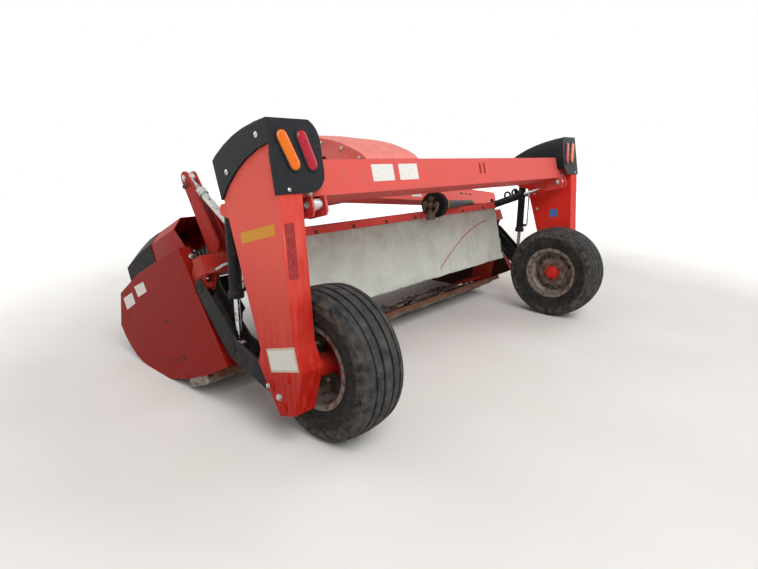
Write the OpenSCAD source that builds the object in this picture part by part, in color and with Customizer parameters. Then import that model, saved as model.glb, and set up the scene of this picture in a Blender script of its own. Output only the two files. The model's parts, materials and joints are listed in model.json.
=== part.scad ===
// Trailed disc mower, seven discs, parked with its drawbar folded across the deck.
// Machine axes: X to the right, Y forward, Z up, floor at Z = 0, millimetres.
// The wheeled carriage tips forward on its axle until the mowing deck stands on the floor.

/* [Carriage] */
// Width over the outer faces of the two legs
legs_w = 3220; // [3120:10:3320]
// Width of one leg, across the machine
leg_t = 124; // [112:2:136]
// Thickness of a leg's side sheets
leg_sheet = 8; // [6:0.5:10]
// Forward tip of the carriage as it parks, degrees
carriage_tip = 14; // [13:0.25:15]
// Depth of the cross beam, front to rear
beam_d = 264; // [240:2:280]
// Height of the cross beam
beam_h = 168; // [150:2:180]
// Height of the beam's underside above the axle, square to the carriage
beam_low = 785; // [770:5:800]
// Rear face of the beam behind the axle
beam_back = 145; // [130:5:155]

/* [Wheels] */
// Tyre diameter
tyre_d = 760; // [750:2:770]
// Tyre width
tyre_w = 266; // [250:2:276]
// Distance between the middles of the two tyres
track_w = 2678; // [2660:2:2686]
// Rim seat diameter
rim_d = 388; // [380:1:396]
// Wheel spindle diameter
spindle_d = 60; // [50:1:70]

/* [Drawbar] */
// Distance of the drawbar's pivot from the machine's middle, to the left
pivot_off = 767; // [740:1:790]
// Distance of the pivot ahead of the axle, square to the carriage
pivot_fwd = 400; // [380:5:420]
// Drawbar length from pivot to nose
drawbar_len = 3900; // [3700:10:4000]
// Drawbar width
drawbar_w = 180; // [150:2:200]
// Drawbar height
drawbar_h = 150; // [130:2:160]
// Direction of the folded drawbar, degrees ahead of straight right
drawbar_dir = 16; // [14:0.5:18]
// Fall of the drawbar towards its nose, degrees
drawbar_fall = 1.75; // [1.25:0.25:2]
// Pivot pin diameter
pivot_pin_d = 80; // [70:1:90]
// Hitch pin bore diameter
hitch_bore_d = 32; // [28:1:36]

/* [Deck] */
// Nose-down pitch of the mowing deck as it parks, degrees
deck_pitch = 22.5; // [22:0.25:23]
// Deck datum ahead of the axle
deck_fwd = 522; // [515:1:535]
// How far the side guards stand inside the legs' outer faces
deck_inset = 10; // [5:1:15]
// Sheet thickness of guards and covers
sheet_t = 5; // [4:0.5:6]
// Width of the guards' folded edges
guard_lip = 70; // [50:2:78]
// Half length of the red clamp rail over the rear curtain
rail_half = 1332; // [1300:2:1334]
// Height of the clamp rail
rail_h = 50; // [40:1:54]
// Side of the square main tube
main_tube = 100; // [90:2:104]

/* [Cutterbar] */
// Number of discs
discs = 7; // [7:1:7]
// Distance between neighbouring discs
disc_pitch = 433; // [426:1:438]
// Disc diameter over its long way
disc_d = 380; // [360:2:400]
// Disc width over its flats
disc_flat = 290; // [270:2:310]
// Blade tip circle diameter
blade_tip_d = 524; // [510:2:530]
// Height of the cutterbar housing
bar_h = 55; // [50:1:57]
// Spindle bore of each disc
disc_bore_d = 40; // [36:1:44]

/* [Lift] */
// How far the lower arm's hinge pin hangs below the axle
arm_pin_drop = 76; // [72:1:80]
// Distance of that hinge pin ahead of the axle
arm_pin_y = 133; // [130:1:136]
// Length of lower arm and top link, pin to pin
arm_len = 713; // [708:1:718]
// Raise of arms and top link above level, degrees
arm_rise = 31; // [30.5:0.25:31.5]
// Diameter of the linkage pins
link_pin_d = 40; // [32:1:44]
// Bore of the lift and damper barrels
barrel_bore_d = 50; // [46:1:52]
// Outside diameter of those barrels
barrel_d = 64; // [62:1:66]

/* [Hidden] */

$fn = 48;
play = 0.05;          // running clearance, radial
gap = 0.3;            // clearance between faces that only lie near each other
weld = 1;             // how far one plate enters the next inside one weldment
side_out = legs_w / 2;
leg_in = side_out - leg_t;
tyre_r = tyre_d / 2;
wheel_x = track_w / 2;
deck_w = legs_w - 2 * deck_inset;

// Colours as the machine shows them.
red = [0.80, 0.10, 0.05];
black = [0.07, 0.07, 0.08];
steel = [0.45, 0.44, 0.43];
rust = [0.36, 0.17, 0.09];
zinc = [0.75, 0.76, 0.77];
canvas = [0.78, 0.77, 0.74];

// Places of one point in the machine's upright plane, [forward, up].
function from_carriage(p) = [p.x * cos(carriage_tip) + p.y * sin(carriage_tip),
                             tyre_r - p.x * sin(carriage_tip) + p.y * cos(carriage_tip)];
function from_deck(p) = [deck_fwd + p.x * cos(deck_pitch) + p.y * sin(deck_pitch),
                         deck_up - p.x * sin(deck_pitch) + p.y * cos(deck_pitch)];
function to_deck(q) = let (dy = q.x - deck_fwd, dz = q.y - deck_up)
    [dy * cos(deck_pitch) - dz * sin(deck_pitch), dy * sin(deck_pitch) + dz * cos(deck_pitch)];
function to_carriage(q) = let (dy = q.x, dz = q.y - tyre_r)
    [dy * cos(carriage_tip) - dz * sin(carriage_tip), dy * sin(carriage_tip) + dz * cos(carriage_tip)];

// The side guard's outline in the deck's frame, [forward, up]; its heel stands on the floor.
guard_heel = [736, 7];          // rear end of the straight stretch that rests on the floor
guard_sole = 275;
guard_sole_rise = 22.5;
guard_belly = 24;               // how far the lower edge bows down behind the heel
guard_nose_r = 465;
guard_toe = guard_heel + guard_sole * [cos(guard_sole_rise), sin(guard_sole_rise)];
guard_nose_c = guard_toe + guard_nose_r * [-sin(guard_sole_rise), cos(guard_sole_rise)];
guard_top = [[1120, 641], [779, 690], [163, 700]];   // front, bend and rear corner of the upper edge
guard_outline = concat([for (t = [0 : 0.125 : 0.875]) guard_heel * t - [0, 4 * guard_belly * t * (1 - t)]], [guard_heel],
                       [for (a = [-90 + guard_sole_rise : 11.1 : -11]) guard_nose_c + guard_nose_r * [cos(a), sin(a)]],
                       guard_top);
// Lowest point of that outline gives the deck's height above the floor.
guard_fall = max([for (p = guard_outline) p.x * sin(deck_pitch) - p.y * cos(deck_pitch)]);
deck_up = guard_fall;

// Middle of the machine's box, which the model's origin stands under.
drawbar_x = -pivot_off + drawbar_len * cos(drawbar_fall) * cos(drawbar_dir)
            + drawbar_w / 2 * sin(drawbar_dir);
fairing_proud = 12;
x_low = -side_out - fairing_proud;
x_high = drawbar_x;
y_low = -tyre_r;
y_high = max([for (p = guard_outline) from_deck(p).x]);
middle = [(x_low + x_high) / 2, (y_low + y_high) / 2, 0];

module on_plan() { translate(-middle) children(); }
module carriage_frame() { translate([0, 0, tyre_r]) rotate([-carriage_tip, 0, 0]) children(); }
module deck_frame_axes() { translate([0, deck_fwd, deck_up]) rotate([-deck_pitch, 0, 0]) children(); }
module both_sides() { children(); mirror([1, 0, 0]) children(); }

// Extrudes an outline drawn as [forward, up] from X = x0 to X = x1.
module side_plate(x0, x1) {
    translate([x0, 0, 0]) rotate([90, 0, 90]) linear_extrude(x1 - x0) children();
}
// A cylinder along X from x0 to x1 about the point p = [forward, up].
module cross_pin(p, d, x0, x1) {
    translate([x0, p.x, p.y]) rotate([0, 90, 0]) cylinder(d = d, h = x1 - x0);
}
// Outline of a flat link: circles of radius r0 at a and r1 at b, and the straight flanks between,
// which stand a hair inside the circles.
flank = 0.98;
module link_outline(a, b, r0, r1) {
    run = norm(b - a);
    dir = atan2(b.y - a.y, b.x - a.x);
    lean = acos((r0 - r1) / run);
    near = flank * r0;
    far = flank * r1;
    translate(a) circle(r = r0);
    translate(b) circle(r = r1);
    polygon([a + near * [cos(dir + lean), sin(dir + lean)], b + far * [cos(dir + lean), sin(dir + lean)],
             b + far * [cos(dir - lean), sin(dir - lean)], a + near * [cos(dir - lean), sin(dir - lean)]]);
}
// A rod between two points in space.
module rod(a, b, d) {
    way = b - a;
    translate(a) rotate([0, acos(way.z / norm(way)), atan2(way.y, way.x)]) cylinder(d = d, h = norm(way));
}

// Carriage: cross beam, two legs, fairings with lamps, drawbar head and hood.

beam_top = beam_low + beam_h;
beam_front = beam_d - beam_back;
leg_arc_c = [-210, 353];
leg_arc_r = 656;
function leg_cap(grow) = [for (a = [49.3 : 8.2 : 90.7]) leg_arc_c + (leg_arc_r + grow) * [cos(a), sin(a)]];
leg_outline = concat([[2, -184], [115, -191], [206, 69], [166, 134], [215, 847]], leg_cap(0),
                     [[-199, 800], [-91, 138], [-115, 24]]);
arm_base = [arm_pin_y, tyre_r - arm_pin_drop];
arm_pin = to_carriage(arm_base);
pocket_r = 72;

module gantry_beam() {
    color(red) carriage_frame() translate([-leg_in, -beam_back, beam_low]) cube([2 * leg_in, beam_d, beam_h]);
}

// Place of the damper's upper eye on the carriage, and of its lower pin on the deck, [forward, up].
damper_x = 1375;
damper_eye = [50, tyre_r + 760];
damper_foot = [deck_fwd + 245, deck_up + 590.8];
damper_pin_d = 24;
bracket_t = 12;
bracket_half = 34;

// Two plates under the beam hold the pin of the damper's upper eye.
module damper_brackets() {
    eye = to_carriage(damper_eye);
    color(red) carriage_frame() both_sides() {
        for (s = [-1, 1]) translate([damper_x + s * (bracket_half + bracket_t / 2) - bracket_t / 2, 0, 0])
            side_plate(0, bracket_t)
                polygon([[eye.x - 38, beam_low - gap], eye + [-40, -34], eye + [-22, -56], eye + [92, -56], eye + [190, -14],
                         [eye.x + 232, beam_low - gap]]);
        cross_pin(eye, damper_pin_d, damper_x - bracket_half - weld, damper_x + bracket_half + weld);
    }
}

module leg(side) {
    mirror([side < 0 ? 1 : 0, 0, 0]) color(red) carriage_frame() {
        difference() {
            side_plate(leg_in, side_out) polygon(leg_outline);
            arm_pocket();
            cross_pin([0, 0], spindle_d, leg_in - 1, side_out - leg_sheet);
        }
        cross_pin(arm_pin, link_pin_d, leg_in + leg_sheet - weld, side_out - leg_sheet + weld);
        lift_bracket();
        if (side < 0) top_link_bracket();
    }
}

// Room inside the leg for the tail of the lower arm, over its whole travel.
module arm_pocket() {
    side_plate(leg_in + leg_sheet, side_out - leg_sheet) translate(arm_pin) union() {
        circle(r = pocket_r);
        for (a = [arm_rise + carriage_tip, arm_rise + carriage_tip - lift_travel])
            rotate(a) translate([0, -pocket_r]) square([300, 2 * pocket_r]);
    }
}

// Upper pin of the lift cylinder, in front of the leg's top, [forward, up] from the floor.
lift_x = side_out - leg_t / 2;
lift_pin = [467, tyre_r + 720];
lift_foot = arm_base + [327, 96];
lift_travel = 30;
lift_pin_d = 28;
lift_lug_t = 10;
lift_lug_half = 30;

module lift_bracket() {
    pin = to_carriage(lift_pin);
    for (s = [-1, 1]) side_plate(lift_x + s * (lift_lug_half + lift_lug_t / 2) - lift_lug_t / 2,
                                 lift_x + s * (lift_lug_half + lift_lug_t / 2) + lift_lug_t / 2)
        link_outline([170, pin.y - 22], pin, 52, 30);
    cross_pin(pin, lift_pin_d, lift_x - lift_lug_half - weld, lift_x + lift_lug_half + weld);
}

// Rear pin of the top link, between two lugs on the left leg.
top_link_x = 1445;
top_link_rise = arm_len * [cos(arm_rise), sin(arm_rise)];
top_link_front = [1025, tyre_r + 848];
top_link_rear = top_link_front - top_link_rise;
top_link_t = 36;
top_lug_t = 12;

module top_link_bracket() {
    pin = to_carriage(top_link_rear);
    for (s = [-1, 1]) side_plate(top_link_x + s * (top_link_t / 2 + 1 + top_lug_t / 2) - top_lug_t / 2,
                                 top_link_x + s * (top_link_t / 2 + 1 + top_lug_t / 2) + top_lug_t / 2)
        link_outline([150, pin.y - 20], pin, 48, 27);
    translate([top_link_x - top_link_t / 2 - 1 - top_lug_t, 60, pin.y - 80])
        cube([leg_in + weld - (top_link_x - top_link_t / 2 - 1 - top_lug_t), 100, 120]);
    cross_pin(pin, link_pin_d - 8, top_link_x - top_link_t / 2 - 1 - weld, top_link_x + top_link_t / 2 + 1 + weld);
}

// Fairing: a hollow moulding over the leg's top and the beam's end; its rear panel carries the lamps.
fairing_arc_c = [-120, 246];
fairing_arc_r = 867;
fairing_in = side_out - 265;
fairing_out = side_out + fairing_proud;
fairing_wall = 5;
fairing_low = 795;
fairing_nose_low = 851;
panel_back = 204;               // how far the panel's foot stands behind the axle
panel_lean = 3.4;
// Round corners as seen from the rear: centre, radius, first angle.
fairing_feet = [[[fairing_in + 88, fairing_low + 88], 88, 180], [[fairing_out - 2, fairing_low + 2], 2, 270]];
fairing_heads = [[[fairing_out - 14, 1104], 14, 0], [[fairing_in + 100, 1018], 100, 90]];

function corner_arcs(corners, wall) = [for (c = corners) for (a = [0 : 15 : 90]) c[0] + (c[1] - wall) * [cos(c[2] + a), sin(c[2] + a)]];
function fairing_crown(wall) = [for (i = [0 : 5]) fairing_arc_c + (fairing_arc_r - wall) * [cos(68.3 + 5.7 * i), sin(68.3 + 5.7 * i)]];
function panel_at(w, wall) = [-panel_back + wall - (w - fairing_low) * tan(panel_lean), w];

module seen_from_rear(outline) { translate([0, 600, 0]) rotate([90, 0, 0]) linear_extrude(1200) polygon(outline); }

module fairing() {
    under = leg_cap(gap);
    leg_room = concat([[250, 700]], under, [[-214.2, 1008], [-199.6, 800], [-183.2, 700]]);
    foot = fairing_low - 5;
    crown = concat([[219, fairing_nose_low], [230, 1036]], fairing_crown(0), [panel_at(foot, 0)]);
    color(black) carriage_frame() intersection() {
        difference() {
            union() {
                side_plate(leg_in - weld, fairing_out + weld)
                    polygon(concat(crown, [panel_at(foot, 17), [-198, 960]], [for (i = [len(under) - 1 : -1 : 0]) under[i]]));
                side_plate(fairing_in - weld, leg_in)
                    polygon(concat(crown, [[-beam_back - gap, foot], [-beam_back - gap, beam_top + gap],
                                           [beam_front + gap, beam_top + gap], [beam_front + gap, fairing_nose_low]]));
            }
            side_plate(leg_in - gap, side_out + gap) polygon(leg_room);
            translate([0, -beam_back - gap, beam_low]) cube([leg_in + gap, beam_d + 2 * gap, beam_h + gap]);
            intersection() {
                side_plate(fairing_in, side_out - 2)
                    polygon(concat([[207, 690], [220, 1036]], fairing_crown(fairing_wall), [panel_at(1000, fairing_wall), panel_at(690, fairing_wall)]));
                seen_from_rear(concat([[fairing_in + fairing_wall, 680], [fairing_out, 680]], corner_arcs(fairing_heads, fairing_wall)));
            }
        }
        seen_from_rear(corner_arcs(concat(fairing_feet, fairing_heads), 0));
    }
}

// Slanted lamp with round ends, on the panel: middles of its lower and upper ends as [across, up].
lamp_t = 8;
lamp_w = 58;
amber_ends = [[1514, 919], [1541, 1034]];
red_ends = [[1413, 917], [1433, 1034]];

module lamp(ends) {
    carriage_frame() translate([0, -panel_back, fairing_low]) rotate([90 + panel_lean, 0, 0]) translate([0, -fairing_low, gap])
        linear_extrude(lamp_t) link_outline(ends[0], ends[1], lamp_w / 2, lamp_w / 2);
}
module lamps_amber() { color([0.95, 0.50, 0.05]) both_sides() lamp(amber_ends); }
module lamps_red() { color([0.75, 0.03, 0.04]) both_sides() lamp(red_ends); }

// Fork in front of the beam that holds the drawbar's pivot.
head_w = 435;
fork_t = 22;
fork_r = 130;
boss_h = drawbar_h;
boss_low = 838;
head_back = -60;      // rear face of the block on the beam, under the hood
head_x = -pivot_off;

module fork_plate(low) {
    translate([0, 0, low]) linear_extrude(fork_t) union() {
        translate([head_x - head_w / 2 + 20, beam_front - 5]) square([head_w - 40, 60]);
        polygon([[head_x - head_w / 2 + 20, beam_front + 54], [head_x + head_w / 2 - 20, beam_front + 54],
                 [head_x + fork_r, pivot_fwd], [head_x - fork_r, pivot_fwd]]);
        translate([head_x, pivot_fwd]) circle(r = fork_r);
    }
}

module pivot_head() {
    upper = boss_low + boss_h + 6;
    color(red) carriage_frame() {
        difference() {
            union() {
                fork_plate(boss_low - 6 - fork_t);
                fork_plate(upper);
                translate([head_x - head_w / 2 + 20, head_back, beam_top])
                    cube([head_w - 40, beam_front - head_back + 1, upper + fork_t - beam_top]);
                translate([head_x - head_w / 2 + 20, beam_front, boss_low - 6 - fork_t])
                    cube([head_w - 40, fork_t, upper - boss_low + 6 + fork_t]);
            }
            translate([-leg_in, -beam_back - 1, beam_low - 1]) cube([2 * leg_in, beam_d + 1, beam_h + 1]);
        }
        translate([head_x, pivot_fwd, boss_low - 6 - fork_t]) cylinder(d = pivot_pin_d, h = upper + 2 * fork_t - boss_low + 6);
        translate([head_x, pivot_fwd, upper + fork_t - weld]) cylinder(d = pivot_pin_d + 50, h = fork_t);
    }
}

// Arched sheet hood over the drawbar's pivot; its side outline is [forward, up].
hood_outer = [[-beam_back, beam_top], [-120, 985], [-74, 1020], [18, 1078], [89, 1111], [169, 1143],
              [300, 1188], [440, 1237], [560, 1270], [640, 1280], [700, 1262], [735, 1215], [742, 1050]];
hood_sheet = 4;

module pivot_hood() {
    skin = concat(hood_outer, [for (i = [len(hood_outer) - 1 : -1 : 0])
        i == len(hood_outer) - 1 ? hood_outer[i] - [hood_sheet, 0]
        : i > len(hood_outer) - 4 ? hood_outer[i] - hood_sheet * [1, 0.6]
        : hood_outer[i] + hood_sheet * [0.5, -0.9]]);
    cheek = concat(hood_outer, [[742, 1040], [150, 1040], [beam_front, beam_top]]);
    color(red) carriage_frame() difference() {
        union() {
            side_plate(head_x - head_w / 2, head_x + head_w / 2) polygon(skin);
            for (x = [head_x - head_w / 2, head_x + head_w / 2 - hood_sheet])
                side_plate(x, x + hood_sheet) polygon(cheek);
        }
        translate([-leg_in, -beam_back - 1, 0]) cube([2 * leg_in, beam_d + 1, beam_top + gap]);
    }
}

// Stub axle on each leg: a flange against the leg and the spindle that the hub turns on.
axle_flange_d = 140;
axle_flange_t = 10;
spindle_in = wheel_x - 70;

module stub_axles() {
    color(steel) both_sides() carriage_frame() {
        cross_pin([0, 0], spindle_d, spindle_in, side_out - leg_sheet - gap);
        cross_pin([0, 0], axle_flange_d, leg_in - axle_flange_t, leg_in);
    }
}

// Wheels: profiles are drawn as [radius, width from the middle, outwards positive].
tread_groove = [[-78, 14], [-30, 16], [30, 16], [78, 14]];   // groove middle, groove width
groove_deep = 9;
crown_fall = 10;
rim_half = 110;       // half width between the rim's flanges
flange_h = 20;
bead_r = rim_d / 2 + gap;

module wheel_axes(side) {
    translate([side * wheel_x, 0, tyre_r]) rotate([0, side * 90, 0]) children();
}
module tyre(side) {
    r = tyre_r;
    half = tyre_w / 2;
    color(black) wheel_axes(side) difference() {
        rotate_extrude($fn = 72) polygon(concat(
            [[bead_r, -rim_half + 7], [bead_r + flange_h, -rim_half + 2], [bead_r + flange_h + 8, -rim_half - 8],
             [rim_d / 2 + 80, -half + 4], [r - 75, -half], [r - 38, -half + 8], [r - crown_fall, -half + 24],
             [r - 3, -60], [r, 0], [r - 3, 60], [r - crown_fall, half - 24], [r - 38, half - 8], [r - 75, half],
             [rim_d / 2 + 80, half - 4], [bead_r + flange_h + 8, rim_half + 8], [bead_r + flange_h, rim_half - 2],
             [bead_r, rim_half - 7]]));
        for (g = tread_groove) translate([0, 0, g[0] - g[1] / 2]) difference() {
            cylinder(r = r + 5, h = g[1], $fn = 72);
            translate([0, 0, -1]) cylinder(r = r - groove_deep - crown_fall / 2, h = g[1] + 2, $fn = 72);
        }
    }
}

rim_t = 6;
disc_seat = -48;      // the wheel disc stands off the middle, to the inside of the machine
disc_plate_t = 8;
stud_circle_r = 82;
studs = 6;
hub_bore_d = spindle_d + 2 * play;

module rim(side) {
    seat = rim_d / 2;
    color(steel) wheel_axes(side) {
        rotate_extrude($fn = 72) polygon([[seat + flange_h, -rim_half - rim_t], [seat + flange_h, -rim_half], [seat, -rim_half + 4],
            [seat, -70], [seat - 26, -48], [seat - 26, 30], [seat, 52], [seat, rim_half - 4],
            [seat + flange_h, rim_half], [seat + flange_h, rim_half + rim_t], [seat - rim_t, rim_half + 2],
            [seat - rim_t, 56], [seat - 26 - rim_t, 33], [seat - 26 - rim_t, -50], [seat - rim_t, -74],
            [seat - rim_t, -rim_half - 2]]);
        difference() {
            rotate_extrude($fn = 72) polygon([[58, disc_seat - disc_plate_t], [110, disc_seat - disc_plate_t],
                [130, disc_seat + 8], [seat - 26 - rim_t + 2, disc_seat + 30], [seat - 26 - rim_t + 2, disc_seat + 30 + disc_plate_t],
                [126, disc_seat + 16], [106, disc_seat], [58, disc_seat]]);
            for (i = [0 : 7]) rotate(i * 45 + 22.5) translate([138, 0, -80]) cylinder(d = 22, h = 120, $fn = 24);
        }
    }
}

module hub(side) {
    color(red) wheel_axes(side) {
        difference() {
            union() {
                translate([0, 0, disc_seat]) cylinder(d = 190, h = 14);
                translate([0, 0, disc_seat]) cylinder(d = 112, h = 120);
                translate([0, 0, disc_seat - 34]) cylinder(d = 112, h = 36);
                translate([0, 0, disc_seat - 62]) cylinder(d = 78, h = 30);
            }
            translate([0, 0, spindle_in - wheel_x - 2]) cylinder(d = hub_bore_d, h = 300);
        }
        for (i = [0 : studs - 1]) rotate(i * 360 / studs) translate([stud_circle_r, 0, disc_seat - disc_plate_t - 16])
            cylinder(d = 26, h = 16);
    }
}

// Drawbar: rectangular beam on a vertical pivot, folded across the deck.
drawbar_lift = boss_low + drawbar_h / 2;
nose_round = 70;

module drawbar_axes() {
    carriage_frame() translate([head_x, pivot_fwd, drawbar_lift]) rotate([0, 0, drawbar_dir]) children();
}
module drawbar() {
    color(red) drawbar_axes() difference() {
        union() {
            cylinder(d = pivot_pin_d + 100, h = boss_h, center = true);
            rotate([0, drawbar_fall, 0]) {
                intersection() {
                    translate([20, -drawbar_w / 2, -drawbar_h / 2 - 0.5])
                        cube([drawbar_len - 20, drawbar_w, drawbar_h]);
                    translate([0, drawbar_w / 2 + 1, 0]) rotate([90, 0, 0]) linear_extrude(drawbar_w + 2) union() {
                        translate([0, -drawbar_h]) square([drawbar_len - nose_round, 2 * drawbar_h]);
                        translate([0, -drawbar_h]) square([drawbar_len, drawbar_h * 1.5 - nose_round]);
                        translate([drawbar_len - nose_round, drawbar_h / 2 - nose_round]) circle(r = nose_round);
                    }
                }
            }
        }
        cylinder(d = pivot_pin_d + 2 * play, h = 2 * boss_h, center = true);
    }
}

// Drop hitch under the drawbar's nose: two cheeks and a clevis for the tractor's drawbar pin.
cheek_t = 15;
cheek_drop = 250;
clevis_gap = 42;
clevis_t = 22;
clevis_out = 3720;

module drawbar_hitch() {
    top = -drawbar_h / 2 - 0.5;
    color(red) drawbar_axes() rotate([0, drawbar_fall, 0]) {
        for (outer = [-drawbar_w / 2 + cheek_t, drawbar_w / 2])
            translate([0, outer, 0]) rotate([90, 0, 0]) linear_extrude(cheek_t)
                polygon([[clevis_out - 320, top], [clevis_out + 120, top], [clevis_out - 60, top - cheek_drop],
                         [clevis_out - 200, top - cheek_drop]]);
        difference() {
            union() {
                for (low = [top - cheek_drop, top - cheek_drop + clevis_t + clevis_gap])
                    translate([0, 0, low]) linear_extrude(clevis_t) union() {
                        translate([clevis_out - 215, -drawbar_w / 2 + cheek_t]) square([215, drawbar_w - 2 * cheek_t]);
                        translate([clevis_out, 0]) circle(r = drawbar_w / 2 - cheek_t);
                    }
                translate([clevis_out - 215, -drawbar_w / 2 + cheek_t, top - cheek_drop])
                    cube([30, drawbar_w - 2 * cheek_t, 2 * clevis_t + clevis_gap]);
            }
            translate([clevis_out, 0, top - cheek_drop - 1]) cylinder(d = hitch_bore_d, h = 2 * clevis_t + clevis_gap + 2);
        }
    }
}

// Lift linkage: two lower arms, one top link, and the cylinders and dampers beside them.

arm_x0 = leg_in + leg_sheet + 6;
arm_x1 = side_out - leg_sheet - 6;
arm_plate_t = 8;
arm_tail_r = 50;
arm_nose_r = 42;
arm_belly_r = 58;
arm_tip = arm_base + top_link_rise;
tray_in = 1425;       // inner edge of the tray that the arm widens to before the deck
tray_from = 190;
tray_to = 60;         // how far before the tip the tray ends
web_t = 8;
web_low = 25;

module arm(side) {
    mirror([side < 0 ? 1 : 0, 0, 0]) {
        difference() {
            for (x = [arm_x0, arm_x1 - arm_plate_t]) side_plate(x, x + arm_plate_t) union() {
                link_outline(arm_base, lift_foot, arm_tail_r, arm_belly_r);
                link_outline(lift_foot, arm_tip, arm_belly_r, arm_nose_r);
            }
            for (p = [arm_base, arm_tip]) cross_pin(p, link_pin_d + 2 * play, arm_x0 - 1, arm_x1 + 1);
        }
        arm_web(arm_base, lift_foot, 55, 70);
        arm_web(lift_foot, arm_tip, 70, 60);
        arm_tray(lift_foot, arm_tip);
        cross_pin(lift_foot, lift_pin_d, arm_x0 + arm_plate_t - weld, arm_x1 - arm_plate_t + weld);
    }
}
// Floor of the arm's channel between two pins, kept clear of both by the given lengths.
module arm_web(a, b, clear_a, clear_b) {
    run = norm(b - a);
    translate([arm_x0 + arm_plate_t - weld, a.x, a.y]) rotate([atan2(b.y - a.y, b.x - a.x), 0, 0])
        translate([0, clear_a, -web_low]) cube([arm_x1 - arm_x0 - 2 * arm_plate_t + 2 * weld, run - clear_a - clear_b, web_t]);
}
// Floor and turned-up lip by which the pressed arm widens inwards.
module arm_tray(a, b) {
    run = norm(b - a);
    translate([0, a.x, a.y]) rotate([atan2(b.y - a.y, b.x - a.x), 0, 0]) {
        translate([0, 0, -web_low]) linear_extrude(web_t)
            polygon([[arm_x0 + weld, 60], [tray_in, tray_from], [tray_in, run - tray_to], [arm_x0 + weld, run - tray_to]]);
        translate([tray_in, tray_from, -web_low]) cube([web_t, run - tray_to - tray_from, 2 * web_low]);
    }
}
module lift_arms() { color(black) { arm(1); arm(-1); } }

lift_rod_d = 32;
lift_barrel_low = lift_pin.y - 440;
eye_d = 64;
eye_bore = lift_pin_d + 18;
eye_t = 44;

module lift_barrels() {
    color(black) both_sides() difference() {
        union() {
            translate([lift_x, lift_pin.x, lift_barrel_low]) cylinder(d = barrel_d, h = lift_pin.y - 34 - lift_barrel_low);
            translate([lift_x, lift_pin.x, lift_barrel_low]) cylinder(d = barrel_d + 10, h = 30);
            translate([lift_x - 22, lift_pin.x - 20, lift_pin.y - 40]) cube([44, 40, 30]);
            cross_pin(lift_pin, 56, lift_x - 28, lift_x + 28);
        }
        translate([lift_x, lift_pin.x, lift_barrel_low - 1]) cylinder(d = barrel_bore_d, h = lift_pin.y - 70 - lift_barrel_low);
        cross_pin(lift_pin, lift_pin_d + 2 * play, lift_x - 60, lift_x + 60);
    }
}
module lift_rods() {
    eye = [lift_pin.x, lift_foot.y];
    color(zinc) both_sides() {
        translate([lift_x, lift_pin.x, eye.y + eye_d / 2 - 4]) cylinder(d = lift_rod_d, h = lift_pin.y - 140 - eye.y - eye_d / 2 + 4);
        translate([lift_x, lift_pin.x, lift_pin.y - 170]) cylinder(d = barrel_bore_d - 2 * play, h = 40);
        difference() {
            cross_pin(eye, eye_d, lift_x - eye_t / 2, lift_x + eye_t / 2);
            cross_pin(eye, eye_bore, lift_x - eye_t, lift_x + eye_t);
        }
    }
}

module top_link() {
    color(zinc) mirror([1, 0, 0]) {
        way = top_link_front - top_link_rear;
        difference() {
            union() {
                for (p = [top_link_rear, top_link_front])
                    cross_pin(p, 64, top_link_x - top_link_t / 2, top_link_x + top_link_t / 2);
                rod([top_link_x, top_link_rear.x, top_link_rear.y] + 26 * [0, cos(arm_rise), sin(arm_rise)],
                    [top_link_x, top_link_front.x, top_link_front.y] - 26 * [0, cos(arm_rise), sin(arm_rise)], 30);
                rod([top_link_x, top_link_rear.x + way.x * 0.28, top_link_rear.y + way.y * 0.28],
                    [top_link_x, top_link_rear.x + way.x * 0.80, top_link_rear.y + way.y * 0.80], 42);
            }
            for (p = [top_link_rear, top_link_front])
                cross_pin(p, link_pin_d - 8 + 2 * play, top_link_x - 60, top_link_x + 60);
        }
    }
}

// Dampers between the deck's rear corners and the beam: barrel on the deck, rod to the carriage.
damper_way = (damper_eye - damper_foot) / norm(damper_eye - damper_foot);
damper_run = norm(damper_eye - damper_foot);
damper_barrel_len = 430;
damper_eye_d = 58;
damper_eye_bore = damper_pin_d + 20;

function damper_at(s) = [damper_x, damper_foot.x + damper_way.x * s, damper_foot.y + damper_way.y * s];

module damper_barrels() {
    color(black) both_sides() difference() {
        union() {
            rod(damper_at(30), damper_at(damper_barrel_len), barrel_d);
            rod(damper_at(damper_barrel_len - 26), damper_at(damper_barrel_len), barrel_d + 2);
            cross_pin(damper_foot, 62, damper_x - 26, damper_x + 26);
        }
        rod(damper_at(60), damper_at(damper_barrel_len + 1), barrel_bore_d);
        cross_pin(damper_foot, damper_pin_d + 2 * play, damper_x - 60, damper_x + 60);
    }
}
module damper_rods() {
    color(zinc) both_sides() {
        rod(damper_at(80), damper_at(damper_run - damper_eye_d / 2 + 3), 24);
        rod(damper_at(76), damper_at(112), barrel_bore_d - 2 * play);
        difference() {
            cross_pin(damper_eye, damper_eye_d, damper_x - 24, damper_x + 24);
            cross_pin(damper_eye, damper_eye_bore, damper_x - 60, damper_x + 60);
        }
    }
}

// Mowing deck, drawn in its own frame: [forward, up] from the guard's lower rear corner.

deck_in = deck_w / 2 - sheet_t;
tube_mid = [0, 550];
arm_tip_deck = to_deck(arm_tip);
end_plate_t = 8;
end_plate_x = arm_x1 - arm_plate_t - 6 - end_plate_t / 2;   // outside the blades, inside the arm's outer side
stay_x = [700, deck_w / 2 - guard_lip - 20];
stay_t = 12;
front_tube_d = 48;
front_tube = [1096, 600];
stay_h = 40;
stay_root = tube_mid + [main_tube / 2 - 10, 22];
stay_tip = front_tube - [6, 17];
outriggers = 6;
outrigger_end = rail_half - 12;

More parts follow.
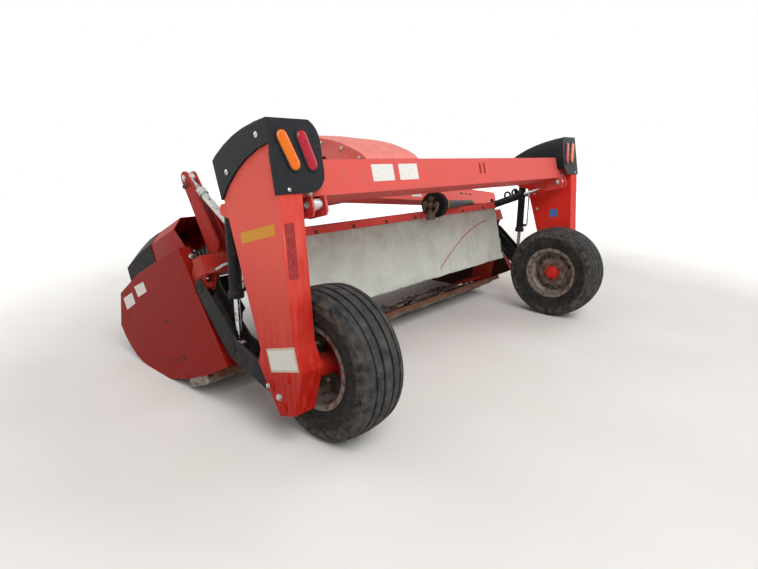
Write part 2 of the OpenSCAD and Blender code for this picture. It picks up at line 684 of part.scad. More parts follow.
module deck_frame() {
    color(red) deck_frame_axes() {
        translate([-deck_in + gap, tube_mid.x - main_tube / 2, tube_mid.y - main_tube / 2])
            cube([2 * (deck_in - gap), main_tube, main_tube]);
        cross_pin(front_tube, front_tube_d, -deck_in + gap, deck_in - gap);
        for (s = [-1, 1]) {
            // End plates carry the cutterbar from the main tube.
            side_plate(s * end_plate_x - end_plate_t / 2, s * end_plate_x + end_plate_t / 2)
                polygon([[20, 590], [60, 590], [200, 470], [470, 60], [470, bar_top + gap], [262, bar_top + gap],
                         [100, 240], [86, 438], [52, 490], [20, 510]]);
                // Stays from the main tube to the front tube.
            for (x = stay_x) side_plate(s * x - stay_t / 2, s * x + stay_t / 2)
                polygon([stay_root, stay_tip, stay_tip + [0, stay_h], stay_root + [0, stay_h]]);
            mirror([s < 0 ? 1 : 0, 0, 0]) arm_lugs();
            mirror([s < 0 ? 1 : 0, 0, 0]) damper_lugs();
        }
        for (i = [0 : outriggers - 1]) rail_outrigger(outrigger_end * (2 * i / (outriggers - 1) - 1));
    }
}

// Lugs under the main tube that the lower arm is pinned to.
module arm_lugs() {
    for (x = [arm_x0 + arm_plate_t + 6, arm_x1 - arm_plate_t - 6 - end_plate_t]) side_plate(x, x + end_plate_t)
        link_outline([10, 520], arm_tip_deck, 38, 32);
    cross_pin(arm_tip_deck, link_pin_d, arm_x0 - 2, arm_x1 + 2);
}
// Forked lug on the main tube for the damper's foot.
module damper_lugs() {
    foot = to_deck(damper_foot);
    for (s = [-1, 1]) side_plate(damper_x + s * 33 - 4, damper_x + s * 33 + 4) link_outline([0, 570], foot, 30, 24);
    cross_pin(foot, damper_pin_d, damper_x - 36, damper_x + 36);
}
// Outriggers behind the main tube hold the clamp rail.
rail_back = -150;
rail_low = 602;
rail_t = 8;
curtain_t = 8;
outrigger_back = rail_back + rail_t + curtain_t + 2 * gap;   // the curtain is clamped between rail and outriggers
module rail_outrigger(x) {
    root = tube_mid - [main_tube / 2 - 10, 0];
    side_plate(x - 4, x + 4) polygon([root + [0, 10], root + [0, main_tube / 2], [outrigger_back, rail_low + rail_h],
                                      [outrigger_back, rail_low + 5]]);
}

// Lug and plate at the deck's left end: the top link's pin and the gearbox's mounting plate.
tube_top = tube_mid.y + main_tube / 2;

module headstock() {
    pin = to_deck(top_link_front);
    color(red) mirror([1, 0, 0]) deck_frame_axes() {
        for (s = [-1, 1]) side_plate(top_link_x + s * (top_link_t / 2 + 1 + top_lug_t / 2) - top_lug_t / 2,
                                     top_link_x + s * (top_link_t / 2 + 1 + top_lug_t / 2) + top_lug_t / 2)
            link_outline([12, tube_top + 62], pin, 60, 38);
        translate([top_link_x - 32, -20, tube_top + gap]) cube([66, 66, 20]);
        cross_pin(pin, link_pin_d - 8, top_link_x - top_link_t / 2 - 14, top_link_x + top_link_t / 2 + 14);
        side_plate(plate_x, plate_x + plate_thick) difference() {
            polygon([[-40, tube_top + gap], [50, 742], [144, 786], [250, 890], [406, 942], [plate_fwd, 930], [plate_fwd, tube_top + gap]]);
            for (p = [[401, 849], [307, 829]]) translate(p) circle(d = 18);
        }
    }
}

// Bevel gearbox at the deck's left end, over the first disc, with its guarded input to the rear.
plate_x = 1240;
plate_thick = 10;
plate_fwd = 470;
gearbox_low = 600;
gearbox_h = 120;
input_up = 640;
first_disc_x = disc_pitch * (discs - 1) / 2;
column_d = 2 * (first_disc_x - plate_x - plate_thick - 1);
disc_fwd = 400;
input_guard_d = 96;

module deck_gearbox() {
    color(steel) deck_frame_axes() {
        translate([-first_disc_x, disc_fwd, 0]) {
            translate([0, 0, gearbox_low - 40]) cylinder(d = column_d, h = gearbox_h + 50);
            translate([0, 0, drum_top + 6]) cylinder(d = 60, h = gearbox_low - 40 - drum_top);
        }
        translate([-first_disc_x - 70, 210, gearbox_low])
            cube([first_disc_x + 70 - plate_x - plate_thick - gap, 250, gearbox_h]);
        translate([-first_disc_x, 212, input_up]) rotate([90, 0, 0]) cylinder(d = input_guard_d, h = 130);
        translate([-first_disc_x, 84, input_up]) rotate([90, 0, 0]) cylinder(d = 34, h = 70);
    }
}

// Folded cover over the gearbox, open to the rear; its section is drawn as [across, up].
shield_out = deck_w / 2 - 47;
shield_ridge = shield_out - 73;
shield_wall_top = 826;
shield_roof = 896;
shield_t = 4;

module gearbox_cover() {
    inner = plate_x + plate_thick + gap;
    rear = guard_top[2] + [2, gap];
    front = [600, guard_top[2].y + (guard_top[1].y - guard_top[2].y) * (600 - guard_top[2].x) / (guard_top[1].x - guard_top[2].x) + gap];
    color(red) mirror([1, 0, 0]) deck_frame_axes() intersection() {
        translate([0, 760, 0]) rotate([90, 0, 0]) linear_extrude(620)
            polygon([[shield_out, 680], [shield_out, shield_wall_top], [shield_ridge, shield_roof], [inner, shield_roof],
                     [inner, shield_roof - shield_t], [shield_ridge - 2, shield_roof - shield_t],
                     [shield_out - shield_t, shield_wall_top - 2], [shield_out - shield_t, 680]]);
        side_plate(inner - 1, shield_out + 1)
            polygon([rear, [237, shield_wall_top], [262, shield_roof + 1], [730, shield_roof + 1], [575, shield_wall_top], front]);
    }
}

// Cutterbar: flat oil-filled housing on skids, with a stone guard and a spindle for each disc.
bar_top = -18;
bar_back = 240;
bar_front = 500;
bar_half = end_plate_x + end_plate_t / 2 + 8;
spindle_top = 28;
drum_top = 300;

module cutterbar() {
    color(steel) deck_frame_axes() {
        low = bar_top - bar_h;
        side_plate(-bar_half, bar_half)
            polygon([[bar_back, bar_top - 14], [bar_back + 26, bar_top], [bar_front - 32, bar_top], [bar_front, bar_top - 20],
                     [bar_front - 8, low + 10], [bar_front - 34, low], [bar_back + 50, low], [bar_back, low + 24]]);
        for (i = [0 : discs - 1]) translate([(i - (discs - 1) / 2) * disc_pitch, disc_fwd, 0]) {
            translate([0, 0, bar_top - 1]) cylinder(d = 130, h = 13);
            translate([0, 0, bar_top]) cylinder(d = disc_bore_d, h = spindle_top - bar_top);
            stone_guard();
        }
    }
}
module stone_guard() {
    translate([0, 0, bar_top - bar_h + 14]) linear_extrude(9) difference() {
        circle(r = 160);
        translate([-200, -200]) square([400, 280]);
    }
}

rear_bar_fwd = 168;
rear_bar_d = 50;

module rear_bar() {
    color(rust) deck_frame_axes() {
        rear_half = end_plate_x - end_plate_t / 2 - gap;
        translate([-rear_half, rear_bar_fwd, -52]) cube([2 * rear_half, rear_bar_d, 36]);
        for (i = [0 : discs - 1]) translate([(i - (discs - 1) / 2) * disc_pitch - 15, rear_bar_fwd + rear_bar_d - 8, -50])
            cube([30, bar_back - rear_bar_fwd - rear_bar_d + 8 - gap, 14]);
    }
}

// One disc: a low dome cut to an oval, two swinging blades, and a hub that turns on its spindle.
disc_low = 2;
dome_h = 34;
blade_w = 46;
blade_t = 5;
blade_root = 150;

module mower_disc(number) {
    turn = (number % 2 == 0) ? 90 : 0;
    x = (number - 1 - (discs - 1) / 2) * disc_pitch;
    color(number == 1 || number == discs ? red : steel) deck_frame_axes() translate([x, disc_fwd, disc_low]) rotate(turn) difference() {
        union() {
            intersection() {
                rotate_extrude() polygon([[0, 8], [disc_d / 2 - 8, 8], [disc_d / 2, 11], [disc_d / 2 - 6, 16],
                                          [90, dome_h], [0, dome_h + 4]]);
                translate([-disc_d, -disc_flat / 2, 0]) cube([2 * disc_d, disc_flat, 60]);
            }
            for (s = [0, 180]) rotate(s) {
                translate([blade_root, -blade_w / 2, 3]) cube([blade_tip_d / 2 - blade_root, blade_w, blade_t]);
                translate([blade_root + 22, 0, 1]) cylinder(d = 26, h = 8);
            }
            if (number == 1) cylinder(d = 150, h = drum_top - disc_low);
        }
        translate([0, 0, -1]) cylinder(d = disc_bore_d + 2 * play, h = spindle_top - disc_low + 2);
    }
}

// Pressed side guard: one sheet with folded edges; its lower edge is open.
module guard(side) {
    last = len(guard_outline) - 1;
    mirror([side < 0 ? 1 : 0, 0, 0]) color(red) deck_frame_axes() {
        side_plate(deck_in, deck_w / 2) polygon(guard_outline);
        difference() {
            intersection() {
                side_plate(deck_w / 2 - guard_lip, deck_w / 2) polygon(guard_outline);
                for (i = [last - 3 : last]) edge_strip(guard_outline[i], guard_outline[(i + 1) % (last + 1)]);
            }
            // The deck's end plate passes through the rear edge.
            translate([end_plate_x - end_plate_t / 2 - gap, 40, 358]) cube([end_plate_t + 2 * gap, 120, 190]);
        }
    }
}
// Folded edge along one side of the outline, as wide as the guard's lip.
module edge_strip(a, b) {
    translate([deck_w / 2 - guard_lip, a.x, a.y]) rotate([atan2(b.y - a.y, b.x - a.x), 0, 0])
        translate([0, -sheet_t, -sheet_t]) cube([guard_lip, norm(b - a) + 2 * sheet_t, 2 * sheet_t]);
}

// Cover sheet over the discs, from the clamp rail to the front tube.
cover_t = 4;
module top_cover() {
    low = sheet_t + gap;
    line = [[rail_back, rail_low + rail_h + cover_t + gap], [163, 700 - low], [779, 690 - low], [1110, 641 - low]];
    color(red) deck_frame_axes() difference() {
        side_plate(-deck_in + gap, deck_in - gap)
            polygon(concat(line, [for (i = [3 : -1 : 0]) line[i] - [0, cover_t]]));
        // Corners left open for the dampers and for the guards' rear edges.
        both_sides() translate([rail_half, rail_back - 10, 600]) cube([400, 185 - rail_back, 200]);
        // Room for the gearbox under its own cover.
        translate([-deck_w, rail_back - 10, tube_top]) cube([deck_w - plate_x + gap, plate_fwd + 12 - rail_back, 200]);
    }
}

module rear_rail() {
    color(red) deck_frame_axes()
        translate([-rail_half, rail_back, rail_low]) cube([2 * rail_half, rail_t, rail_h]);
}

rear_bend = [-118, 300];
rear_hem = [-84, 122];
front_bend = [1190, 300];
front_hem = [1190, 230];
front_sheet_t = 6;

module rear_curtain() {
    face = rail_back + rail_t + gap;
    color(canvas) deck_frame_axes() side_plate(-rail_half, rail_half)
        polygon([[face, rail_low + rail_h - 2], [face, rail_low - 40], rear_bend, rear_hem, rear_hem + [curtain_t, 0],
                 rear_bend + [curtain_t, 0], [face + curtain_t, rail_low - 40], [face + curtain_t, rail_low + rail_h - 2]]);
}
module front_curtain() {
    face = front_tube.x + front_tube_d / 2 + gap;
    color(black) deck_frame_axes() side_plate(-deck_in + gap, deck_in - gap)
        polygon([[face, front_tube.y + 12], [face, front_tube.y - 40], front_bend, front_hem, front_hem + [front_sheet_t, 0],
                 front_bend + [front_sheet_t, 0], [face + front_sheet_t, front_tube.y - 40], [face + front_sheet_t, front_tube.y + 12]]);
}

// Loose driveline half, stowed on the clamp rail and the cover, its open joint to the rear left.
pto_tail = [178, 496, 1000.5];
pto_head = [1146, 751, 930.2];
pto_way = (pto_head - pto_tail) / norm(pto_head - pto_tail);
pto_tube_d = 44;

module pto_shaft() {
    color(black) {
        difference() {
            union() {
                rod(pto_tail, pto_tail + 70 * pto_way, 186);
                rod(pto_tail + 69 * pto_way, pto_tail + 130 * pto_way, 110);
                rod(pto_tail + 100 * pto_way, pto_head, pto_tube_d);
            }
            rod(pto_tail - 1 * pto_way, pto_tail + 64 * pto_way, 172);
        }
    }
}
module pto_yoke() {
    side = cross(pto_way, [0, 0, 1]) / norm(cross(pto_way, [0, 0, 1]));
    color(rust) {
        rod(pto_tail + 63.7 * pto_way, pto_tail + 20 * pto_way, 56);
        for (s = [-1, 1]) rod(pto_tail + 30 * pto_way + s * 24 * side, pto_tail - 62 * pto_way + s * 34 * side, 22);
        rod(pto_tail - 50 * pto_way - 58 * side, pto_tail - 50 * pto_way + 58 * side, 28);
        rod(pto_tail - 50 * pto_way - [0, 0, 52], pto_tail - 50 * pto_way + [0, 0, 52], 28);
    }
}

on_plan() gantry_beam();
on_plan() leg(-1);  // leg_left
on_plan() leg(1);  // leg_right
on_plan() both_sides() fairing();  // fairings
on_plan() lamps_amber();
on_plan() lamps_red();
on_plan() pivot_head();
on_plan() pivot_hood();
on_plan() stub_axles();
on_plan() lift_barrels();
on_plan() damper_brackets();
on_plan() tyre(-1);  // tyre_left
on_plan() rim(-1);  // rim_left
on_plan() hub(-1);  // hub_left
on_plan() tyre(1);  // tyre_right
on_plan() rim(1);  // rim_right
on_plan() hub(1);  // hub_right
on_plan() drawbar();
on_plan() drawbar_hitch();
on_plan() lift_arms();
on_plan() lift_rods();
on_plan() top_link();
on_plan() deck_frame();
on_plan() headstock();
on_plan() deck_gearbox();
on_plan() cutterbar();
on_plan() rear_bar();
on_plan() guard(-1);  // guard_left
on_plan() guard(1);  // guard_right
on_plan() top_cover();
on_plan() gearbox_cover();
on_plan() rear_rail();
on_plan() rear_curtain();
on_plan() front_curtain();
on_plan() pto_shaft();
on_plan() pto_yoke();
on_plan() mower_disc(1);  // disc_1
on_plan() mower_disc(2);  // disc_2
on_plan() mower_disc(3);  // disc_3
on_plan() mower_disc(4);  // disc_4
on_plan() mower_disc(5);  // disc_5
on_plan() mower_disc(6);  // disc_6
on_plan() mower_disc(7);  // disc_7
on_plan() damper_barrels();
on_plan() damper_rods();
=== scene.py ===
"""Folded disc mower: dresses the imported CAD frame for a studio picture.

Sizes are in millimetres in the machine's own axes, and turn to metres where a mesh is made.
"""

from __future__ import annotations

import json
import logging
import math
import random
from dataclasses import dataclass
from enum import Enum
from typing import ClassVar, Sequence

import bmesh
import bpy
from mathutils import Matrix, Vector, noise

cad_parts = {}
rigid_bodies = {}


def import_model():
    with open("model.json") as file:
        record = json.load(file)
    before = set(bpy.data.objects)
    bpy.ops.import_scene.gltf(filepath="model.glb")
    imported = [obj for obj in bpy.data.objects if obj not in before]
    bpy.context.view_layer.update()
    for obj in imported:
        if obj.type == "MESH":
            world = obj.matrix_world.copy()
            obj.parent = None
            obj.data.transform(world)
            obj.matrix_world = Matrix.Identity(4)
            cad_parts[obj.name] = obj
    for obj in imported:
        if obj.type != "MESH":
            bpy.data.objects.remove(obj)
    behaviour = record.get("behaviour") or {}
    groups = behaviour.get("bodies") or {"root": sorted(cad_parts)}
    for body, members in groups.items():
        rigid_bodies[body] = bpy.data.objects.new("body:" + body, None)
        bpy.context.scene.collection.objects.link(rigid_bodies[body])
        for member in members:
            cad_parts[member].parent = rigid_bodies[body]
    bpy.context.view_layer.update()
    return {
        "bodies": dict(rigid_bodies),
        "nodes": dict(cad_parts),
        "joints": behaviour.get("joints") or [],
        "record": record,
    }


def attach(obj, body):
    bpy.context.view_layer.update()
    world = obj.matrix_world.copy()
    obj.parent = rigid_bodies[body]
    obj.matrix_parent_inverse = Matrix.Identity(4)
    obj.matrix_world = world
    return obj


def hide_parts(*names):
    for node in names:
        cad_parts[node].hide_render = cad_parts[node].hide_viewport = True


LOG = logging.getLogger("mower")
MM = 0.001

# Places on level ground that several parts of the machine share, in millimetres.
AXLE_HIGH = 380.0
DAMPER_X = 1375.0
DAMPER_EYE = (50.0, 1140.0)
TOP_LINK_FRONT = (1025.0, 1228.0)
DISC_FORWARD = 400.0


class Side(Enum):
    """A side of the machine, as the sign of its X."""

    LEFT = -1
    RIGHT = 1

    @property
    def word(self) -> str:
        """Returns the side's name as piece names use it."""
        return self.name.lower()


# Axes


@dataclass(frozen=True)
class Axes:
    """The own axes of one part of the machine: across, forward and up."""

    origin: Vector
    across: Vector
    forward: Vector
    up: Vector

    def at(self, x: float, v: float, w: float) -> Vector:
        """Returns the place of a point given in millimetres."""
        return self.origin + self.way(x, v, w) * MM

    def way(self, x: float, v: float, w: float) -> Vector:
        """Returns a direction or an offset, in the units that it is given in."""
        return self.across * x + self.forward * v + self.up * w


@dataclass(frozen=True)
class Layout:
    """Axes of the tipped carriage, the pitched deck, the folded drawbar and the upright machine."""

    carriage: Axes
    deck: Axes
    drawbar: Axes
    upright: Axes

    @classmethod
    def of(cls, joints: Sequence[dict], fold: float = 16.0, fall: float = 1.75) -> Layout:
        """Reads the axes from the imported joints.

        Args:
            joints: the frame's joints at rest.
            fold: angle of the folded drawbar ahead of straight right, in degrees.
            fall: fall of the drawbar towards its nose, in degrees.

        Returns:
            The four sets of axes.
        """
        by_name = {joint["name"]: joint for joint in joints}
        left, right = (Vector(by_name[f"wheel_{side}_spin"]["pos_m"]) for side in ("left", "right"))
        middle = (left.x + right.x) / 2
        across = Vector((1, 0, 0))
        tipped = Vector(by_name["drawbar_swing"]["axis"]).normalized()
        pitched = Vector(by_name["disc_4_spin"]["axis"]).normalized()
        carriage = Axes(Vector((middle, left.y, left.z)), across, tipped.cross(across), tipped)
        deck_ahead = pitched.cross(across)
        disc = Vector(by_name["disc_4_spin"]["pos_m"])
        deck = Axes(Vector((middle, disc.y, disc.z)) - deck_ahead * DISC_FORWARD * MM, across, deck_ahead, pitched)
        turn, drop = math.radians(fold), math.radians(fall)
        along = carriage.way(math.cos(drop) * math.cos(turn), math.cos(drop) * math.sin(turn), -math.sin(drop))
        beside = carriage.way(-math.sin(turn), math.cos(turn), 0)
        drawbar = Axes(Vector(by_name["drawbar_swing"]["pos_m"]), along, beside, along.cross(beside))
        upright = Axes(Vector((middle, left.y, 0)), across, Vector((0, 1, 0)), Vector((0, 0, 1)))
        return cls(carriage, deck, drawbar, upright)


# Finishes


def linear(colour: str) -> tuple[float, float, float, float]:
    """Turns a colour from sRGB hex to the linear values that shaders take.

    Args:
        colour: six hex digits after a hash sign.

    Returns:
        Red, green, blue and an alpha of 1.
    """
    parts = (int(colour[i:i + 2], 16) / 255 for i in (1, 3, 5))
    red, green, blue = (c / 12.92 if c <= 0.04045 else ((c + 0.055) / 1.055) ** 2.4 for c in parts)
    return red, green, blue, 1.0


class Wiring:
    """A node tree, and the one way in which nodes are added to it."""

    def __init__(self, tree: bpy.types.NodeTree) -> None:
        """Takes up the tree."""
        self.tree = tree

    def wire(self, node: bpy.types.Node, links: dict) -> None:
        """Sets or links the named inputs of a node.

        Args:
            node: the node whose inputs change.
            links: input name or number to a socket, a hex colour or a plain value.
        """
        for key, value in links.items():
            if isinstance(value, bpy.types.NodeSocket):
                self.tree.links.new(value, node.inputs[key])
            else:
                node.inputs[key].default_value = linear(value) if isinstance(value, str) else value

    def add(self, kind: str, links: dict | None = None, out: int | str = 0, **settings: object) -> bpy.types.NodeSocket:
        """Adds one node with its settings and links.

        Args:
            kind: the node's type name.
            links: its inputs, as wire takes them.
            out: which output is returned.
            settings: properties of the node.

        Returns:
            The chosen output socket.
        """
        node = self.tree.nodes.new(kind)
        for key, value in settings.items():
            setattr(node, key, value)
        self.wire(node, links or {})
        return node.outputs[out]


class Recipe(Wiring):
    """The node tree of one material while its layers are laid on."""

    def __init__(self, name: str) -> None:
        """Starts a material that holds a plain shader.

        Args:
            name: the material's name.
        """
        self.material = bpy.data.materials.new(name)
        self.material.use_nodes = True
        super().__init__(self.material.node_tree)
        self.shader = self.tree.nodes["Principled BSDF"]
        self.where = self.add("ShaderNodeTexCoord", out="Object")
        self.normal = self.add("ShaderNodeNewGeometry", out="Normal")

    def patches(self, size: float, low: float = 0.4, high: float = 0.6, detail: float = 4.0,
                stretch: tuple[float, float, float] = (1, 1, 1)) -> bpy.types.NodeSocket:
        """Returns soft patches from 0 to 1 whose usual width is a real size in millimetres.

        Args:
            size: width of one patch.
            low: noise level where a patch begins.
            high: noise level where it is full.
            detail: octaves of finer edges.
            stretch: how much finer the patches are along X, Y and Z.

        Returns:
            A socket with the cover.
        """
        place = self.add("ShaderNodeMapping", {"Vector": self.where, "Scale": stretch})
        field = self.add("ShaderNodeTexNoise", {"Vector": place, "Scale": 1000 / size, "Detail": detail})
        return self.add("ShaderNodeMapRange", {"Value": field, "From Min": low, "From Max": high})

    def toward(self, way: Sequence[float], start: float = 0.0, full: float = 1.0) -> bpy.types.NodeSocket:
        """Returns how far the surface faces a fixed direction of the machine, from 0 to 1."""
        faces = self.add("ShaderNodeVectorMath", {0: self.normal, 1: tuple(way)}, out="Value", operation="DOT_PRODUCT")
        return self.add("ShaderNodeMapRange", {"Value": faces, "From Min": start, "From Max": full})

    def edges(self, radius: float) -> bpy.types.NodeSocket:
        """Returns 1 on edges that hands, straps and stones rub.

        Args:
            radius: how far the rubbing reaches round an edge, in millimetres.

        Returns:
            A socket with the cover.
        """
        soft = self.add("ShaderNodeBevel", {"Radius": radius * MM}, samples=4)
        same = self.add("ShaderNodeVectorMath", {0: soft, 1: self.normal}, out="Value", operation="DOT_PRODUCT")
        return self.add("ShaderNodeMapRange", {"Value": same, "From Min": 0.985, "From Max": 0.84})

    def layers(self, ground: bpy.types.NodeSocket | str,
               *coats: tuple[bpy.types.NodeSocket | str | float, ...]) -> bpy.types.NodeSocket:
        """Lays coats of colour over a ground, the first one lowest.

        Args:
            ground: the colour underneath.
            coats: for each coat its colour and the covers from 0 to 1 that have to meet where it shows.

        Returns:
            The colour that is seen.
        """
        for colour, cover, *others in coats:
            for other in others:
                cover = self.add("ShaderNodeMath", {0: cover, 1: other}, operation="MULTIPLY")
            ground = self.add("ShaderNodeMix", {0: cover, 6: ground, 7: colour}, out=2, data_type="RGBA")
        return ground

    def relief(self, *heights: tuple[bpy.types.NodeSocket, float], rounded: float = 0.0) -> bpy.types.NodeSocket:
        """Lays reliefs over each other, on edges that are rounded first.

        Args:
            heights: for each relief its height from 0 to 1 and its real depth in millimetres.
            rounded: radius in millimetres that softens the edges.

        Returns:
            A socket with the normal.
        """
        normal = self.add("ShaderNodeBevel", {"Radius": rounded * MM}, samples=4) if rounded else self.normal
        for height, depth in heights:
            normal = self.add("ShaderNodeBump", {"Height": height, "Distance": depth * MM, "Strength": 1.0,
                                                 "Normal": normal})
        return normal


@dataclass(frozen=True)
class Finish:
    """One surface treatment. Its material is made once and shared."""

    name: str
    made: ClassVar[dict[str, bpy.types.Material]] = {}

    def mix(self, recipe: Recipe) -> None:
        """Lays the finish's layers on the recipe's shader."""
        raise NotImplementedError

    def material(self) -> bpy.types.Material:
        """Makes the finish's material when it is first asked for.

        Returns:
            The material.
        """
        if self.name not in Finish.made:
            recipe = Recipe(self.name)
            self.mix(recipe)
            Finish.made[self.name] = recipe.material
        return Finish.made[self.name]

    def dress(self, node: bpy.types.Object) -> None:
        """Gives the finish to every material slot of a CAD node.

        Args:
            node: the CAD node's object.
        """
        if not node.material_slots:
            node.data.materials.append(self.material())
        for slot in node.material_slots:
            slot.material = self.material()


@dataclass(frozen=True)
class SprayedEnamel(Finish):
    """Alkyd enamel sprayed on folded steel sheet, weathered outdoors.

    The eye reads a satin red that turns pink in random patches, and pink as painted light on faces
    toward a set direction; tan dust where water dries, and rusty, rubbed edges. Some parts are kept
    darker towards the bottom as painted shade.
    """

    paint: str = "#C8241A"
    chalk: str = "#DE6A60"
    dirt: str = "#8F6F5E"
    fade: float = 0.45
    dust: float = 0.25
    wear: float = 0.55
    sun: tuple[float, float, float] = (0.0, 0.0, 1.0)
    shaded: float = 0.0
    bleached: float = 0.01
    inside: tuple[float, float, float] = (0.0, 0.0, -1.0)
    grimed: float = 0.0

    def mix(self, recipe: Recipe) -> None:
        """Lays paint, pink weathering with painted light, dust, grass residue with painted shade, and rust.

        The pink and the painted light begin at shaded and are full at bleached, both heights in metres, so the paint is
        darker towards the bottom: painted shade.

        Args:
            recipe: the material that takes the layers.
        """
        broad = recipe.patches(380, 0.32, 0.72, 3)
        painted_light_facing = recipe.toward(self.sun, -0.1, 1.0)
        height = recipe.add("ShaderNodeSeparateXYZ", {0: recipe.where}, out="Z")
        lit_by_height = recipe.add("ShaderNodeMapRange", {"Value": height, "From Min": self.shaded,
                                                     "From Max": self.bleached})
        reached = recipe.add("ShaderNodeMath", {0: broad, 1: painted_light_facing}, operation="MAXIMUM")
        faded_and_lit = recipe.add("ShaderNodeMath", {0: reached, 1: lit_by_height}, operation="MULTIPLY")
        colour = recipe.layers(
            self.paint,
            # Pink in random patches and, as painted light, on faces toward sun; held back low down as painted shade.
            (self.chalk, faded_and_lit, self.fade),
            # Streaks that rain leaves down the sheet.
            (self.chalk, recipe.patches(22, 0.5, 0.8, 3, (1, 1, 0.06)), 0.3),
            # Dried splashes, and dust that lies on flat tops.
            (self.dirt, recipe.patches(60, 0.52, 0.75, 6), self.dust),
            (self.dirt, recipe.toward((0, 0, 1), 0.45, 0.95), recipe.patches(90, 0.3, 0.6, 6), self.dust),
            # Scuffs through to the primer.
            ("#6B3A24", recipe.patches(9, 0.66, 0.72, 5), recipe.patches(120, 0.5, 0.62, 3), self.wear),
            # Grass juice on the side that the crop passes.
            # Painted shade on the faces toward the deck's inside, mixed with dark grass residue in patches.
            ("#231C17", recipe.toward(self.inside, 0.6, 0.95), recipe.patches(110, 0.1, 0.45, 5), self.grimed),
            # Rust on rubbed edges.
            ("#5A3526", recipe.edges(5), recipe.patches(14, 0.42, 0.58, 5), self.wear),
        )
        rough = recipe.add("ShaderNodeMapRange", {"Value": faded_and_lit, "To Min": 0.4, "To Max": 0.62})
        # Orange peel of a sprayed coat is 1.5 to 3 mm wide.
        peel = recipe.relief((recipe.patches(3, 0.2, 0.8, 2), 0.05), rounded=2.5)
        recipe.wire(recipe.shader, {"Base Color": colour, "Roughness": rough, "Normal": peel, "IOR": 1.5,
                                    "Specular IOR Level": 0.12})


@dataclass(frozen=True)
class MouldedPlastic(Finish):
    """Injection-moulded polypropylene with a spark-eroded grain: a dull black that greys on its crown."""

    colour: str = "#1D1E21"
    greyed: str = "#4A4B4E"
    grain: float = 2.5
    roughness: float = 0.6
    dust: float = 0.2

    def mix(self, recipe: Recipe) -> None:
        """Lays the moulded colour, its greying and its grain.

        Args:
            recipe: the material that takes the layers.
        """
        colour = recipe.layers(
            self.colour,
            (self.greyed, recipe.toward((0, 0, 1), 0.1, 1.0), recipe.patches(70, 0.3, 0.7, 5), 0.55),
            ("#77695C", recipe.patches(35, 0.55, 0.8, 6), self.dust),
        )
        # The real grain is 0.4 mm wide; it is drawn several times coarser so that it shows.
        grain = recipe.relief((recipe.patches(self.grain, 0.25, 0.75, 3), 0.16), rounded=2.0)
        recipe.wire(recipe.shader, {"Base Color": colour, "Roughness": self.roughness, "Normal": grain, "IOR": 1.49,
                                    "Specular IOR Level": 0.22})


@dataclass(frozen=True)
class TyreRubber(Finish):
    """Carbon-black tyre rubber, moulded and weathered: grey-black, with tan dust on the sidewall's shoulder."""

    axle: tuple[float, float, float] = (0.0, 0.0, AXLE_HIGH * MM)
    tread_radius: float = 366.0
    wall_inset: float = 40.0
    dust_insets: tuple[float, float] = (75.0, 25.0)

    def mix(self, recipe: Recipe) -> None:
        """Lays the rubber, its bloom and the dust by distance from the axle.

        Args:
            recipe: the material that takes the layers.
        """
        flat = recipe.add("ShaderNodeVectorMath", {0: recipe.where, 1: (0.0, 1.0, 1.0)}, operation="MULTIPLY")
        reach = recipe.add("ShaderNodeVectorMath", {0: flat, 1: (0.0, self.axle[1], self.axle[2])}, out="Value",
                           operation="DISTANCE")
        wall = recipe.add("ShaderNodeMapRange", {"Value": reach, "From Min": self.tread_radius * MM,
                                                 "From Max": (self.tread_radius - self.wall_inset) * MM})
        inner, outer = ((self.tread_radius - inset) * MM for inset in self.dust_insets)
        shoulder = recipe.add("ShaderNodeMapRange", {"Value": reach, "From Min": inner, "From Max": outer})
        bloom = recipe.patches(55, 0.35, 0.7, 6)
        colour = recipe.layers(
            recipe.layers("#2B2C2E", ("#4B4A48", bloom)),
            (recipe.layers("#1C1D1E", ("#33322F", bloom)), wall),
            ("#8F8373", wall, shoulder, recipe.patches(40, 0.4, 0.62, 7), 0.45),
            ("#6A6259", recipe.patches(12, 0.52, 0.66, 4), 0.25),
        )
        grain = recipe.relief((recipe.patches(6, 0.3, 0.7, 4), 0.25))
        recipe.wire(recipe.shader, {"Base Color": colour, "Roughness": 0.82, "Normal": grain, "IOR": 1.52,
                                    "Specular IOR Level": 0.15})


@dataclass(frozen=True)
class WornMetal(Finish):
    """Steel or iron with a colour of its own that weather has taken over in part.

    The eye reads a grey metal sheen between patches of brown rust and pale dust.
    """

    metal: str = "#8B8985"
    rust: str = "#5C3826"
    rusted: float = 0.5
    dust: float = 0.2
    roughness: float = 0.45
    metallic: float = 0.8
    patch: float = 26.0

    def mix(self, recipe: Recipe) -> None:
        """Lays the metal, its rust in two sizes and the dust.

        Args:
            recipe: the material that takes the layers.
        """
        spots = recipe.patches(self.patch, 0.62 - 0.3 * self.rusted, 0.72 - 0.2 * self.rusted, 7)
        colour = recipe.layers(
            self.metal,
            (self.rust, spots),
            ("#7A4A2B", recipe.patches(5, 0.55, 0.66, 4), recipe.patches(70, 0.4, 0.6, 3), self.rusted),
            ("#A6957F", recipe.patches(48, 0.5, 0.72, 6), self.dust),
        )
        bare = recipe.add("ShaderNodeMapRange", {"Value": spots, "To Min": self.metallic, "To Max": 0.0})
        rough = recipe.add("ShaderNodeMapRange", {"Value": spots, "To Min": self.roughness, "To Max": 0.85})
        flakes = recipe.add("ShaderNodeMath", {0: spots, 1: recipe.patches(2.5, 0.3, 0.7, 3)}, operation="ADD")
        scale = recipe.relief((flakes, 0.25))
        recipe.wire(recipe.shader, {"Base Color": colour, "Metallic": bare, "Roughness": rough, "Normal": scale})


